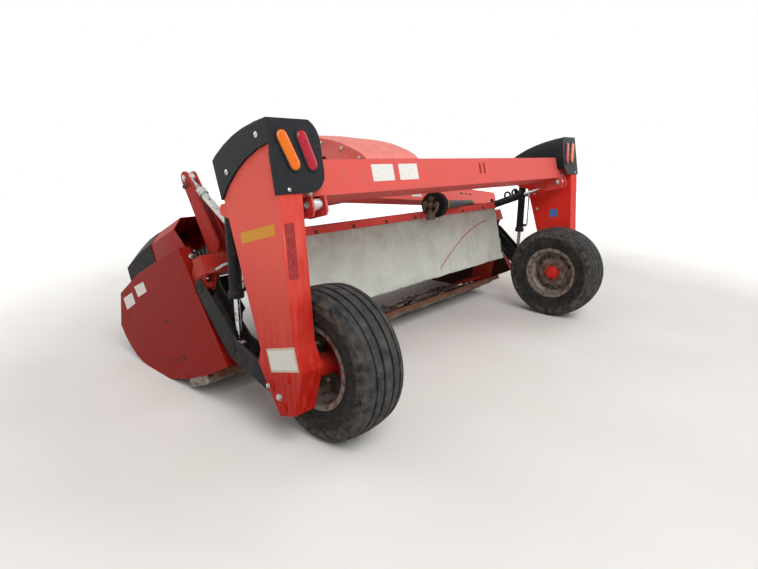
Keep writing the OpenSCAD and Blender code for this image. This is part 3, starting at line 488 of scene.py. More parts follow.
@dataclass(frozen=True)
class CoatedCanvas(Finish):
    """White polyvinyl-coated polyester cloth, woven and calendered.

    The eye reads a matt, greenish grey-white with faint stains under the rail and a thin printed
    red stripe. The stripe is part of one round arc, in metres of the cut cloth from its upper corner.
    """

    colour: str = "#C0C6BE"
    thread: float = 1.6
    arc_centre: tuple[float, float, float] = (2.653, 1.758, 0.0)
    arc_radius: float = 1.617
    arc_end: tuple[float, float] = (2.48, 0.475)
    stripe_half: tuple[float, float] = (0.0065, 0.0045)
    fuzz: float = 0.005

    def mix(self, recipe: Recipe) -> None:
        """Lays cloth, stains by height, the stripe and the weave in the cut's own plane.

        Args:
            recipe: the material that takes the layers.
        """
        cut = recipe.add("ShaderNodeTexCoord", out="UV")
        across = recipe.add("ShaderNodeSeparateXYZ", {0: cut}, out="X")
        down = recipe.add("ShaderNodeSeparateXYZ", {0: cut}, out="Y")
        clamped = recipe.add("ShaderNodeMapRange", {"Value": down, "From Min": 0.24, "From Max": 0.04})
        hem = recipe.add("ShaderNodeMapRange", {"Value": down, "From Min": 0.42, "From Max": 0.52})
        bow = recipe.add("ShaderNodeVectorMath", {0: cut, 1: self.arc_centre}, out="Value", operation="DISTANCE")
        off = recipe.add("ShaderNodeMath", {0: bow, 1: self.arc_radius}, operation="SUBTRACT")
        away = recipe.add("ShaderNodeMath", {0: off}, operation="ABSOLUTE")
        outer_half, inner_half = self.stripe_half
        near = recipe.add("ShaderNodeMapRange", {"Value": away, "From Min": outer_half, "From Max": inner_half})
        inner, upper = (recipe.add("ShaderNodeMapRange", {"Value": place, "From Min": end + self.fuzz, "From Max": end})
                        for place, end in zip((across, down), self.arc_end))
        colour = recipe.layers(
            self.colour,
            ("#B3B6AC", recipe.patches(150, 0.42, 0.7, 5)),
            # Runs down the cloth, rust under the rail and soil at the hem.
            ("#A2A093", recipe.patches(30, 0.48, 0.74, 4, (1, 1, 0.12)), 0.16),
            ("#9A8A76", clamped, recipe.patches(60, 0.35, 0.7, 6), 0.5),
            ("#9E978A", hem, recipe.patches(80, 0.35, 0.7, 6), 0.3),
            # The printed stripe.
            ("#B4443A", near, upper, inner, 0.9),
        )
        # Threads of the carrier cloth stand 1 mm apart; they are drawn a little coarser.
        warp, weft = (recipe.add("ShaderNodeTexWave", {"Vector": cut, "Scale": 1000 / self.thread / 20}, out="Fac",
                                 bands_direction=way) for way in "XY")
        weave = recipe.add("ShaderNodeMath", {0: warp, 1: weft}, operation="ADD")
        folds = recipe.patches(230, 0.25, 0.75, 2, (1, 1, 0.35))
        creases = recipe.patches(70, 0.3, 0.7, 3, (1, 1, 0.3))
        normal = recipe.relief((weave, 0.12), (folds, 32.0), (creases, 2.2))
        recipe.wire(recipe.shader, {"Base Color": colour, "Roughness": 0.7, "Normal": normal, "Sheen Weight": 0.1})


@dataclass(frozen=True)
class LampLens(Finish):
    """Moulded polycarbonate lens, clear colour over a silvered bowl: glossy, bright and faintly dotted."""

    colour: str = "#E0741A"
    deep: str = "#A8440C"
    prism: float = 6.0

    def mix(self, recipe: Recipe) -> None:
        """Lays the clear colour, fine prisms and a painted glow: faint emission in the lens's own colour for the light
        that the silvered bowl sends back.

        Args:
            recipe: the material that takes the layers.
        """
        prisms = recipe.add("ShaderNodeTexVoronoi", {"Vector": recipe.where, "Scale": 1000 / self.prism},
                            out="Distance")
        depths = recipe.add("ShaderNodeMapRange", {"Value": prisms, "From Min": 0.3, "From Max": 0.75, "To Max": 0.4})
        colour = recipe.layers(self.colour, (self.deep, depths))
        # Painted glow: the unlit lens gives off faint light of its own colour.
        recipe.wire(recipe.shader, {"Base Color": colour, "Roughness": 0.2, "Coat Weight": 0.1, "Coat Roughness": 0.05,
                                    "Specular IOR Level": 0.2, "Emission Color": colour, "Emission Strength": 0.1,
                                    "Normal": recipe.relief((prisms, 0.25)), "IOR": 1.58})


@dataclass(frozen=True)
class VinylLabel(Finish):
    """Printed vinyl film left blank: smooth, slightly glossy, dirty along its edges."""

    colour: str = "#D9D7D2"
    beads: bool = False
    cell: float = 6.0

    def mix(self, recipe: Recipe) -> None:
        """Lays the film, its dirt and, on reflective tape, its glass-bead cells.

        Args:
            recipe: the material that takes the layers.
        """
        colour = recipe.layers(self.colour, ("#8F8577", recipe.patches(16, 0.5, 0.72, 6), 0.18))
        links = {"Roughness": 0.35, "IOR": 1.46, "Specular IOR Level": 0.25}
        if self.beads:
            # Sealed cells of reflective tape are 3 mm wide; they are drawn twice as wide so that they show.
            cells = recipe.add("ShaderNodeTexVoronoi", {"Vector": recipe.where, "Scale": 1000 / self.cell},
                               out="Distance", feature="DISTANCE_TO_EDGE")
            walls = recipe.add("ShaderNodeMapRange", {"Value": cells, "From Min": 0.09, "From Max": 0.02,
                                                      "To Max": 0.06})
            colour = recipe.layers(colour, ("#F2E9D8", walls))
            links["Normal"] = recipe.relief((walls, 0.1))
        recipe.wire(recipe.shader, {"Base Color": colour, **links})


class Paint:
    """The finishes of this machine, by the part that wears them."""

    # Every enamel is painted pinker on faces toward its sun, upward unless given: painted light.
    beam = SprayedEnamel("enamel_beam", paint="#C42C26", chalk="#D4605A", fade=0.75, sun=(0, -1, 0.4))
    # Painted light and shade on the left leg: pink on its outward face and high up, deep red and darker towards the
    # bottom.
    leg = SprayedEnamel("enamel_leg", paint="#AC180B", chalk="#EE675B", fade=0.92, dust=0.06, sun=(-1, 0, 0.3),
                        shaded=0.3, bleached=1.0)
    leg_inner = SprayedEnamel("enamel_leg_right", paint="#D0251B", chalk="#DA3F35", fade=0.5, dust=0.15)
    hood = SprayedEnamel("enamel_hood", paint="#D2362C", chalk="#EE8F87", fade=0.8, sun=(0, -0.3, 1))
    drawbar = SprayedEnamel("enamel_drawbar", paint="#D0332A", chalk="#E67068", fade=0.75, sun=(0, -0.7, 0.7))
    headstock = SprayedEnamel("enamel_headstock", paint="#A01A14", chalk="#B93A34", fade=0.4, dust=0.15,
                              sun=(0, -0.7, 0.7))
    # Painted shade: the guards' red is much darker than the other paint, for the shade that they stand in.
    guard = SprayedEnamel("enamel_guard", paint="#860A04", chalk="#94180F", fade=0.3, dust=0.05, wear=0.8,
                          sun=(-0.6, 0, 0.8), inside=(1, 0, 0), grimed=0.9)
    guard_right = SprayedEnamel("enamel_guard_right", paint="#860A04", chalk="#94180F", fade=0.3, dust=0.05, wear=0.8,
                                inside=(-1, 0, 0), grimed=0.9)
    cover = SprayedEnamel("enamel_cover", paint="#900C06", chalk="#B03026", fade=0.5, dust=0.1, wear=0.8)
    frame = SprayedEnamel("enamel_frame", paint="#A8241A", chalk="#BC4A3A", fade=0.4, dust=0.4, wear=0.9)
    rail = SprayedEnamel("enamel_rail", paint="#D62E26", chalk="#E6605A", fade=0.6, dust=0.1, sun=(0, -1, 0.3))
    hub = SprayedEnamel("enamel_hub", paint="#C41E14", chalk="#D2453A", fade=0.3, dust=0.35, wear=0.8)
    black = SprayedEnamel("enamel_black", paint="#17181A", chalk="#343435", dirt="#6B5F53", fade=0.5,
                          dust=0.25, wear=0.6)


class Stock:
    """The finishes of bought-in and bare parts."""

    fairing = MouldedPlastic("moulded_polypropylene", colour="#111418", greyed="#2C3138", dust=0.06)
    ring = MouldedPlastic("moulded_lamp_ring", colour="#141416", grain=4.0, roughness=0.45)
    guard_cone = MouldedPlastic("moulded_shaft_guard", colour="#17181A", greyed="#3D3E40", grain=5.0, roughness=0.5)
    sleeve = MouldedPlastic("moulded_shaft_sleeve", colour="#4C4D50", greyed="#7A7A7C", grain=5.0)
    hose = MouldedPlastic("extruded_hose_rubber", colour="#161618", greyed="#3A3A3A", grain=4.0, roughness=0.55)
    band = MouldedPlastic("yellow_shaft_band", colour="#C9A227", greyed="#D8C377", grain=5.0)
    iron = WornMetal("cast_iron_housing", metal="#77746E", rusted=0.45, dust=0.5, roughness=0.6, metallic=0.55)
    steel = WornMetal("worn_bare_steel", metal="#93908A", rusted=0.5, roughness=0.42)
    zinc = WornMetal("zinc_plated_steel", metal="#B9B8B4", rusted=0.15, dust=0.25, roughness=0.38, metallic=0.9)
    chrome = WornMetal("hard_chromed_rod", metal="#C4C6C8", rusted=0.12, dust=0.15, roughness=0.2, metallic=1.0)
    rust = WornMetal("rusted_steel", metal="#7A4630", rusted=1.0, dust=0.3, roughness=0.8, metallic=0.3)
    rim = WornMetal("weathered_wheel_paint", metal="#7C7872", rust="#553B2B", rusted=0.55, dust=0.3, roughness=0.6,
                    metallic=0.35, patch=36)
    joint = WornMetal("worn_joint_steel", metal="#6E665E", rust="#4A3528", rusted=0.6, dust=0.35,
                      roughness=0.6, metallic=0.5)
    canvas = CoatedCanvas("coated_canvas")
    apron = MouldedPlastic("rubber_apron", colour="#1A1A1B", greyed="#4A4540", grain=9.0, roughness=0.75)
    amber = LampLens("amber_polycarbonate", colour="#D86A04", deep="#A84404")
    red_lens = LampLens("red_polycarbonate", colour="#A60F28", deep="#6E0818")
    label = VinylLabel("blank_vinyl_label")
    buff_label = VinylLabel("blank_buff_label", colour="#C9B79A")
    blue_label = VinylLabel("blank_blue_label", colour="#3D6FA8")
    yellow_tape = VinylLabel("yellow_reflective_tape", colour="#D69000", beads=True)
    red_tape = VinylLabel("red_reflective_tape", colour="#8E141C", beads=True)


# Meshes


def smooth_way(points: Sequence[Vector], steps: int = 6) -> list[Vector]:
    """Runs one smooth curve through the given points.

    Args:
        points: places that the curve passes.
        steps: points made for each stretch.

    Returns:
        Points close enough for a round pipe.
    """
    ends = [points[0] * 2 - points[1], *points, points[-1] * 2 - points[-2]]
    way = []
    for a, b, c, d in zip(ends, ends[1:], ends[2:], ends[3:]):
        for i in range(steps):
            t = i / steps
            way.append(0.5 * ((2 * b) + (c - a) * t + (2 * a - 5 * b + 4 * c - d) * t * t
                              + (3 * b - a - 3 * c + d) * t ** 3))
    return way + [points[-1]]


def stadium(foot: tuple[float, float], top: tuple[float, float], radius: float,
            sides: int = 10) -> list[tuple[float, float]]:
    """Works out the outline of a slot with round ends in a plane.

    Args:
        foot: centre of the first round end.
        top: centre of the other round end.
        radius: half of the slot's width.
        sides: steps round each end.

    Returns:
        The outline's points.
    """
    heading = math.atan2(top[1] - foot[1], top[0] - foot[0])
    outline = []
    for (x, y), start in ((top, -math.pi / 2), (foot, math.pi / 2)):
        for i in range(sides + 1):
            turn = heading + start + math.pi * i / sides
            outline.append((x + radius * math.cos(turn), y + radius * math.sin(turn)))
    return outline


class Form:
    """Gathers cut, turned and bent forms into one mesh."""

    crease: ClassVar[float] = math.radians(34)

    def __init__(self) -> None:
        """Starts an empty mesh."""
        self.bm = bmesh.new()

    def loft(self, loops: Sequence[Sequence[Vector]], capped: bool = True, ring: bool = False) -> None:
        """Joins outlines of equal count into one skin.

        Args:
            loops: the outlines in order; an outline of one point closes the form to a tip.
            capped: whether the first and last outline are filled.
            ring: whether the last outline joins the first.
        """
        made = [[self.bm.verts.new(p) for p in loop] for loop in loops]
        pairs = list(zip(made, made[1:])) + ([(made[-1], made[0])] if ring else [])
        for a, b in pairs:
            count = max(len(a), len(b))
            for i in range(count):
                corners = [a[i % len(a)], a[(i + 1) % len(a)], b[(i + 1) % len(b)], b[i % len(b)]]
                self.bm.faces.new(list(dict.fromkeys(corners)))
        if capped and not ring:
            for loop in (made[0], made[-1]):
                if len(loop) > 2:
                    self.bm.faces.new(loop)

    def slab(self, outline: Sequence[Vector], depth: Vector) -> None:
        """Pushes a flat outline along a depth in metres."""
        self.loft([outline, [p + depth for p in outline]])

    def turned(self, start: Vector, way: Vector, profile: Sequence[tuple[float, float]], sides: int = 24) -> None:
        """Turns a profile about a line.

        Args:
            start: where the line begins.
            way: its direction.
            profile: millimetres along the line and the radius there.
            sides: facets around it.
        """
        way = way.normalized()
        across = way.orthogonal().normalized()
        beside = way.cross(across)
        loops = []
        for along, radius in profile:
            centre = start + way * along * MM
            turns = (2 * math.pi * i / sides for i in range(sides))
            loops.append([centre] if radius == 0 else
                         [centre + (across * math.cos(t) + beside * math.sin(t)) * radius * MM for t in turns])
        self.loft(loops)

    def bolt(self, at: Vector, way: Vector, thread: float) -> None:
        """Adds a hexagon head with its washer and a stub of thread.

        Args:
            at: the place under the washer.
            way: direction in which the head stands.
            thread: diameter of the thread in millimetres, which gives all sizes.
        """
        self.turned(at, way, [(0, 1.1 * thread), (0.18 * thread, 1.1 * thread), (0.2 * thread, 0.98 * thread)], 18)
        base = at + way.normalized() * 0.15 * thread * MM
        self.turned(base, way, [(0, 0.94 * thread), (0.55 * thread, 0.94 * thread), (0.68 * thread, 0.78 * thread)], 6)
        self.turned(base, way,
                    [(0.6 * thread, 0.5 * thread), (0.85 * thread, 0.5 * thread), (0.95 * thread, 0.4 * thread)], 10)

    def pipe(self, points: Sequence[Vector], radius: float, sides: int = 10) -> None:
        """Bends a round bar along a way.

        Args:
            points: the bar's middle line in metres.
            radius: the bar's radius in millimetres.
            sides: sides of its section.
        """
        side = (points[1] - points[0]).orthogonal().normalized()
        loops = []
        for i, point in enumerate(points):
            ahead = (points[min(i + 1, len(points) - 1)] - points[max(i - 1, 0)]).normalized()
            side = (side - ahead * side.dot(ahead)).normalized()
            beside = ahead.cross(side)
            loops.append([point + (side * math.cos(t) + beside * math.sin(t)) * radius * MM
                          for t in (2 * math.pi * k / sides for k in range(sides))])
        self.loft(loops)

    def place(self, name: str, body: str, finish: Finish, slot: str, replaces: Sequence[str] = (),
              edge: float = 0.0) -> bpy.types.Object:
        """Makes the piece and hangs it on its body.

        Args:
            name: the piece's name.
            body: the CAD body that it rides on.
            finish: its surface.
            slot: the record's material slot; not used.
            replaces: CAD nodes that it stands for.
            edge: radius in millimetres of its rounded edges.

        Returns:
            The new object.
        """
        bmesh.ops.recalc_face_normals(self.bm, faces=self.bm.faces)
        mesh = bpy.data.meshes.new(name)
        self.bm.to_mesh(mesh)
        self.bm.free()
        mesh.materials.append(finish.material())
        mesh.shade_smooth()
        mesh.set_sharp_from_angle(angle=self.crease)
        piece = bpy.data.objects.new(name, mesh)
        bpy.context.scene.collection.objects.link(piece)
        if edge:
            bevel = piece.modifiers.new("rounded_edges", "BEVEL")
            bevel.width, bevel.segments, bevel.limit_method = edge * MM, 2, "ANGLE"
            bevel.harden_normals = True
        hang(piece, body, replaces)
        return piece


def hang(piece: bpy.types.Object, body: str, replaces: Sequence[str] = ()) -> None:
    """Names what a piece belongs to.

    Args:
        piece: the object.
        body: the body that it rides on.
        replaces: the CAD nodes that it stands for.
    """
    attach(piece, body)
    if replaces:
        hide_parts(*replaces)
    LOG.info("%s on %s", piece.name, body)


# Studio


@dataclass
class Studio:
    """Pale floor, white surround, soft lights and the camera where the photographer stood."""

    eye: tuple[float, float, float] = (-3.60549, -2.45044, 1.364)
    heading: float = 48.445
    dip: float = 14.466
    roll: float = 0.215
    lens: float = 24.02
    key: float = 520.0
    fill: float = 150.0
    sky: float = 0.42
    floor_reach: float = 16.0
    floor_top: float = -0.0002
    floor_thick: float = 0.0098
    white_from: float = 3.0
    white_at: float = 9.0
    target: tuple[float, float, float] = (0.0, 0.0, 0.6)

    def build(self) -> None:
        """Makes camera, lights, world and floor."""
        self.add_camera()
        self.add_light("key_light", (-3.5, -6.0, 6.5), 5.0, self.key)
        self.add_light("fill_light", (5.5, -3.0, 4.5), 5.0, self.fill)
        self.add_light("rim_light", (-4.0, 6.0, 4.0), 4.0, self.fill)
        self.add_world()
        self.add_floor()
        bpy.context.scene.view_settings.view_transform = "Standard"

    def add_camera(self) -> None:
        """Makes the camera with the photograph's angle and field of view."""
        data = bpy.data.cameras.new("camera")
        data.lens, data.sensor_width, data.sensor_fit = self.lens, 36.0, "HORIZONTAL"
        data.clip_start, data.clip_end = 0.05, 100.0
        camera = bpy.data.objects.new("camera", data)
        turn = (Matrix.Rotation(math.radians(-self.heading), 4, "Z")
                @ Matrix.Rotation(math.radians(90 - self.dip), 4, "X")
                @ Matrix.Rotation(math.radians(self.roll), 4, "Z"))
        camera.matrix_world = Matrix.Translation(self.eye) @ turn
        bpy.context.scene.collection.objects.link(camera)
        bpy.context.scene.camera = camera

    def add_light(self, name: str, place: tuple[float, float, float], size: float, power: float) -> None:
        """Hangs one square soft light that looks at the machine's middle.

        Args:
            name: the light's name.
            place: its place in metres.
            size: length of its sides in metres.
            power: its power in watts.
        """
        data = bpy.data.lights.new(name, "AREA")
        data.size, data.energy = size, power
        light = bpy.data.objects.new(name, data)
        light.location = place
        light.rotation_euler = (Vector(self.target) - Vector(place)).to_track_quat("-Z", "Y").to_euler()
        bpy.context.scene.collection.objects.link(light)

    def add_world(self) -> None:
        """Makes the surround white to the camera, glass and metal, and a soft sky to the rest."""
        world = bpy.data.worlds.new("surround")
        bpy.context.scene.world = world
        world.use_nodes = True
        wiring = Wiring(world.node_tree)
        strength = wiring.add("ShaderNodeMapRange", {"Value": self.seen(wiring), "To Min": self.sky, "To Max": 1.0})
        wiring.wire(world.node_tree.nodes["Background"], {"Color": "#FFFFFF", "Strength": strength})

    def seen(self, wiring: Wiring) -> bpy.types.NodeSocket:
        """Tells what the camera sees itself, in metal or through glass, from light on the machine.

        Args:
            wiring: the tree that asks.

        Returns:
            A socket with 1 for what is seen and 0 for light.
        """
        seen, glossy, through = (wiring.add("ShaderNodeLightPath", out=f"Is {kind} Ray")
                                 for kind in ("Camera", "Glossy", "Transmission"))
        for ray in (glossy, through):
            seen = wiring.add("ShaderNodeMath", {0: seen, 1: ray}, operation="MAXIMUM")
        return seen

    def add_floor(self) -> None:
        """Lays the plain floor under the wheels, which turns to the surround's white far from the machine."""
        floor = Form()
        low, reach = self.floor_top - self.floor_thick, self.floor_reach
        corners = ((-reach, -reach), (reach, -reach), (reach, reach), (-reach, reach))
        floor.slab([Vector((x, y, low)) for x, y in corners], Vector((0, 0, self.floor_thick)))
        mesh = bpy.data.meshes.new("floor")
        floor.bm.to_mesh(mesh)
        floor.bm.free()
        recipe = Recipe("studio_floor")
        far = recipe.add("ShaderNodeVectorMath", {0: recipe.where}, out="Value", operation="LENGTH")
        glow = recipe.add("ShaderNodeMapRange", {"Value": far, "From Min": self.white_from, "From Max": self.white_at})
        shown = recipe.add("ShaderNodeMath", {0: glow, 1: self.seen(recipe)}, operation="MULTIPLY")
        colour = recipe.layers("#E4E2DE", ("#DEDBD6", recipe.patches(900, 0.3, 0.7, 2)))
        recipe.wire(recipe.shader, {"Base Color": colour, "Roughness": 0.9, "Emission Color": "#FFFFFF",
                                    "Emission Strength": shown})
        mesh.materials.append(recipe.material)
        plane = bpy.data.objects.new("floor", mesh)
        bpy.context.scene.collection.objects.link(plane)


# Carriage


@dataclass
class Carriage:
    """Beam, legs, head and hood with their labels, tapes, bosses and bolts."""

    axes: Axes
    beam_back: float = -145.0
    leg_outer: float = 1610.0
    leg_inner: float = 1486.0
    film: float = 0.8
    labels: tuple[tuple[float, float, float, float], ...] = ((-959, -788, 838, 925), (-742, -578, 838, 925))
    slots: tuple[float, ...] = (104.0, 158.0)
    slot_ends: tuple[float, float] = (860.0, 912.0)
    slot_radius: float = 10.0
    rear_low: tuple[float, float] = (-91.0, 138.0)
    rear_high: tuple[float, float] = (-199.0, 800.0)
    bracket_half: float = 46.0

    def build(self, nodes: dict[str, bpy.types.Object]) -> None:
        """Dresses the carriage's nodes and adds its small parts.

        Args:
            nodes: the frame's CAD nodes by name.
        """
        finishes = {"gantry_beam": Paint.beam, "leg_left": Paint.leg, "leg_right": Paint.leg_inner,
                    "pivot_head": Paint.frame, "pivot_hood": Paint.hood, "stub_axles": Stock.steel,
                    "lift_barrels": Paint.black, "damper_brackets": Paint.beam}
        for name, finish in finishes.items():
            finish.dress(nodes[name])
        self.add_beam_labels()
        self.add_leg_tapes()
        self.add_bosses()
        self.add_brackets()
        self.add_hood_trim()

    def add_beam_labels(self) -> None:
        """Sticks two blank labels on the beam's rear face, and dark red patches as painted shade in its two short
        slots.
        """
        film = Form()
        for x0, x1, w0, w1 in self.labels:
            film.slab([self.axes.at(x, self.beam_back, w) for x, w in ((x0, w0), (x1, w0), (x1, w1), (x0, w1))],
                      self.axes.way(0, -self.film, 0) * MM)
        film.place("beam_labels", "carriage", Stock.label, "canvas")
        # Painted shade: thin dark red patches stand in for the shade inside the two short slots.
        slots = Form()
        for x in self.slots:
            outline = stadium((x, self.slot_ends[0]), (x, self.slot_ends[1]), self.slot_radius)
            slots.slab([self.axes.at(px, self.beam_back, w) for px, w in outline], self.axes.way(0, -1.5, 0) * MM)
        slots.place("beam_slot_covers", "carriage", Paint.guard, "red_paint")

    def add_leg_tapes(self) -> None:
        """Sticks the tapes and labels on the left leg, and the small label inside the right one."""
        out = self.axes.way(-self.film, 0, 0) * MM
        films = {
            "leg_yellow_tape": ([(138, 684), (-127, 685), (-119, 637), (140, 634)], Stock.yellow_tape),
            "leg_label": ([(109, 125), (-86, 134), (-86, 41), (105, 32)], Stock.label),
        }
        for name, (corners, finish) in films.items():
            film = Form()
            film.slab([self.axes.at(-self.leg_outer, v, w) for v, w in corners], out)
            film.place(name, "carriage", finish, "canvas")
        border = Form()
        rim = [(119, 136), (-97, 145), (-97, 31), (115, 22)]
        border.slab([self.axes.at(-self.leg_outer, v, w) for v, w in rim], out * 0.6)
        border.place("leg_label_border", "carriage", Stock.buff_label, "canvas")
        self.add_rear_tape()
        blue = Form()
        blue.slab([self.axes.at(self.leg_inner, v, w) for v, w in ((34, 539), (-35, 527), (-25, 460), (45, 472))], out)
        blue.place("leg_blue_label", "carriage", Stock.blue_label, "canvas")

    def rear_point(self, x: float, w: float, proud: float = 0.0) -> Vector:
        """Finds a place on the leg's sloping rear face.

        Args:
            x: place across in millimetres.
            w: height in millimetres.
            proud: distance from the face in millimetres.

        Returns:
            The place in metres.
        """
        (v0, w0), (v1, w1) = self.rear_low, self.rear_high
        share = (w - w0) / (w1 - w0)
        normal = Vector((w1 - w0, v0 - v1)).normalized()
        return self.axes.at(x, v0 + share * (v1 - v0) - normal.x * proud, w - normal.y * proud)

    def add_rear_tape(self) -> None:
        """Sticks the dark red reflector on the left leg's rear face."""
        tape = Form()
        corners = ((-1596, 676), (-1546, 676), (-1546, 438), (-1597, 438))
        tape.loft([[self.rear_point(x, w, proud) for x, w in corners] for proud in (0.0, 1.2)])
        tape.place("leg_red_reflector", "carriage", Stock.red_tape, "canvas")

    def add_bosses(self) -> None:
        """Adds the pin heads and bolts on the outer faces of both legs."""
        for side in Side:
            bosses, bolts = Form(), Form()
            out = self.axes.way(side.value, 0, 0)
            for v, w, radius, high in ((10, -4, 26, 12), (76, -150, 22, 9), (147, -42, 30, 8)):
                bosses.turned(self.axes.at(side.value * (self.leg_outer - 1), v, w), out,
                              [(0, radius), (high - 2, radius), (high, radius - 3), (high - 3, radius - 7),
                               (high - 3, 0)], 28)
            bolts.bolt(self.axes.at(side.value * self.leg_outer, 86, -96), out, 16)
            bolts.bolt(self.axes.at(side.value * (self.leg_outer + 7), 147, -42), out, 12)
            for v, w in ((150, 700), (150, 560), (60, 840)):
                bolts.bolt(self.axes.at(side.value * self.leg_inner, v, w), -out, 12)
            bosses.place(f"leg_bosses_{side.word}", "carriage",
                         Paint.leg if side is Side.LEFT else Paint.leg_inner, "red_paint")
            bolts.place(f"leg_bolts_{side.word}", "carriage", Stock.zinc, "zinc_plate")

    def add_brackets(self) -> None:
        """Adds pin heads and bolts to the dampers' brackets under the beam."""
        heads = Form()
        for side in Side:
            eye = self.axes.at(side.value * DAMPER_X, *self.damper_eye())
            for face in (1, -1):
                way = self.axes.way(side.value * face, 0, 0)
                heads.bolt(eye + way * self.bracket_half * MM, way, 18)
            heads.bolt(self.axes.at(side.value * 1400, self.beam_back, 800), self.axes.way(0, -1, 0), 12)
        heads.place("damper_pin_heads", "carriage", Stock.zinc, "zinc_plate")

    def damper_eye(self) -> tuple[float, float]:
        """Turns the damper eye's place on level ground to the tipped carriage.

        Returns:
            The place ahead of and above the axle in the carriage's axes.
        """
        tip = math.atan2(-self.axes.forward.z, self.axes.forward.y)
        ahead, rise = DAMPER_EYE[0], DAMPER_EYE[1] - AXLE_HIGH
        return ahead * math.cos(tip) - rise * math.sin(tip), ahead * math.sin(tip) + rise * math.cos(tip)

    def add_hood_trim(self) -> None:
        """Adds the bolts along the hood's cheeks and the pivot's cap."""
        bolts, cap = Form(), Form()
        for x, out in ((-984.5, -1), (-549.5, 1)):
            for v, w in ((-100, 968), (10, 1045), (160, 1110), (330, 1160), (520, 1220), (690, 1180), (715, 1080)):
                bolts.bolt(self.axes.at(x, v, w), self.axes.way(out, 0, 0), 10)
        for x in (-940, -594):
            for v in (140, 165):
                bolts.bolt(self.axes.at(x, v, 1016), self.axes.way(0, 0, 1), 10)
        bolts.place("hood_bolts", "carriage", Stock.zinc, "zinc_plate")
        cap.turned(self.axes.at(-767, 400, 1038), self.axes.up,
                   [(0, 62), (6, 62), (8, 56), (8, 18), (16, 15), (22, 8), (22, 0)], 32)
        cap.place("pivot_cap", "carriage", Stock.steel, "bare_steel")


@dataclass
class Fairings:
    """Rear fairings over the legs' tops, with their screws and the slanted lamps on their leaning panels."""

    axes: Axes
    panel_back: float = -204.0
    panel_low: float = 795.0
    panel_lean: float = 3.4
    outer: float = 1622.0
    lens_radius: float = 28.0
    ring_wall: float = 9.0
    amber_ends: tuple[tuple[float, float], tuple[float, float]] = ((1507, 919), (1553, 1032))
    red_ends: tuple[tuple[float, float], tuple[float, float]] = ((1410, 917), (1446, 1032))

    def build(self, nodes: dict[str, bpy.types.Object]) -> None:
        """Dresses both fairings and builds lamps and screws.

        Args:
            nodes: the frame's CAD nodes by name.
        """
        Stock.fairing.dress(nodes["fairings"])
        self.add_lamp("lamp_amber", self.amber_ends, Stock.amber, "amber_lens", "lamps_amber")
        self.add_lamp("lamp_red", self.red_ends, Stock.red_lens, "red_lens", "lamps_red")
        self.add_screws()

    def on_panel(self, x: float, w: float, stand: float = 0.0) -> Vector:
        """Finds a place on the leaning panel.

        Args:
            x: place across in millimetres.
            w: height in millimetres.
            stand: distance from the panel in millimetres.

        Returns:
            The place in metres.
        """
        lean = math.radians(self.panel_lean)
        v = self.panel_back - (w - self.panel_low) * math.tan(lean)
        return self.axes.at(x, v - stand * math.cos(lean), w - stand * math.sin(lean))

    def panel_way(self) -> Vector:
        """Returns the direction that the panel faces."""
        lean = math.radians(self.panel_lean)
        return self.axes.way(0, -math.cos(lean), -math.sin(lean))

    def add_lamp(self, name: str, ends: tuple[tuple[float, float], tuple[float, float]], lens: Finish, slot: str,
                 node: str) -> None:
        """Builds one colour's two lamps: a domed lens with its small lenses, in a moulded ring.

        Args:
            name: the pieces' name.
            ends: foot and top of the lamp's middle line, as distance from the machine's middle and height.
            lens: the lens's finish.
            slot: the lens's material slot.
            node: the CAD node that it stands for.
        """
        glass, ring = Form(), Form()
        rim, wall = self.lens_radius, self.ring_wall
        for side in Side:
            foot, top = ((side.value * x, w) for x, w in ends)

            def loop(radius: float, stand: float) -> list[Vector]:
                """Returns a slot outline stood off the panel."""
                return [self.on_panel(x, w, stand) for x, w in stadium(foot, top, radius, 12)]

            glass.loft([loop(r, s) for r, s in ((rim, 0.3), (rim, 4), (rim - 3, 7), (rim - 9, 8.6), (rim - 18, 9.4))])
            self.add_small_lenses(glass, foot, top)
            section = ((rim + wall, 0.2), (rim + wall, 3), (rim + wall - 3, 6.5), (rim + 2, 6.5), (rim + 0.4, 4.5),
                       (rim + 0.4, 0.2))
            ring.loft([loop(r, s) for r, s in section], capped=False, ring=True)
        glass.place(name, "carriage", lens, slot, (node,))
        ring.place(f"{name}_ring", "carriage", Stock.ring, "black_plastic")

    def add_small_lenses(self, glass: Form, foot: tuple[float, float], top: tuple[float, float]) -> None:
        """Adds the rows of small round lenses that show as dots.

        Args:
            glass: the form that takes the lenses.
            foot: the lamp's lower end on the panel.
            top: the lamp's upper end on the panel.
        """
        rows, columns, pitch = 13, 3, 11.0
        run = (Vector(top) - Vector(foot)).normalized()
        middle = (Vector(top) + Vector(foot)) / 2
        for row in range(rows):
            for column in range(columns):
                spot = middle + run * (row - (rows - 1) / 2) * pitch + Vector((run.y, -run.x)) * (column - 1) * pitch
                glass.turned(self.on_panel(spot.x, spot.y, 8.2), self.panel_way(),
                             [(0, 3.6), (1.2, 3.0), (1.8, 1.4), (1.9, 0)], 8)

    def add_screws(self) -> None:
        """Adds the silver screws in the fairings' sides and panels."""
        screws = Form()
        for side in Side:
            out = self.axes.way(side.value, 0, 0)
            for v, w in ((-139, 1058), (132, 962)):
                screws.turned(self.axes.at(side.value * self.outer, v, w), out,
                              [(0, 13), (1.5, 13), (4, 9), (4, 3), (2, 3), (2, 0)], 16)
            screws.turned(self.on_panel(side.value * 1557, 812), self.panel_way(), [(0, 9), (3, 9), (5, 6), (5, 0)], 12)
        screws.place("fairing_screws", "carriage", Stock.zinc, "zinc_plate")


# Wheels


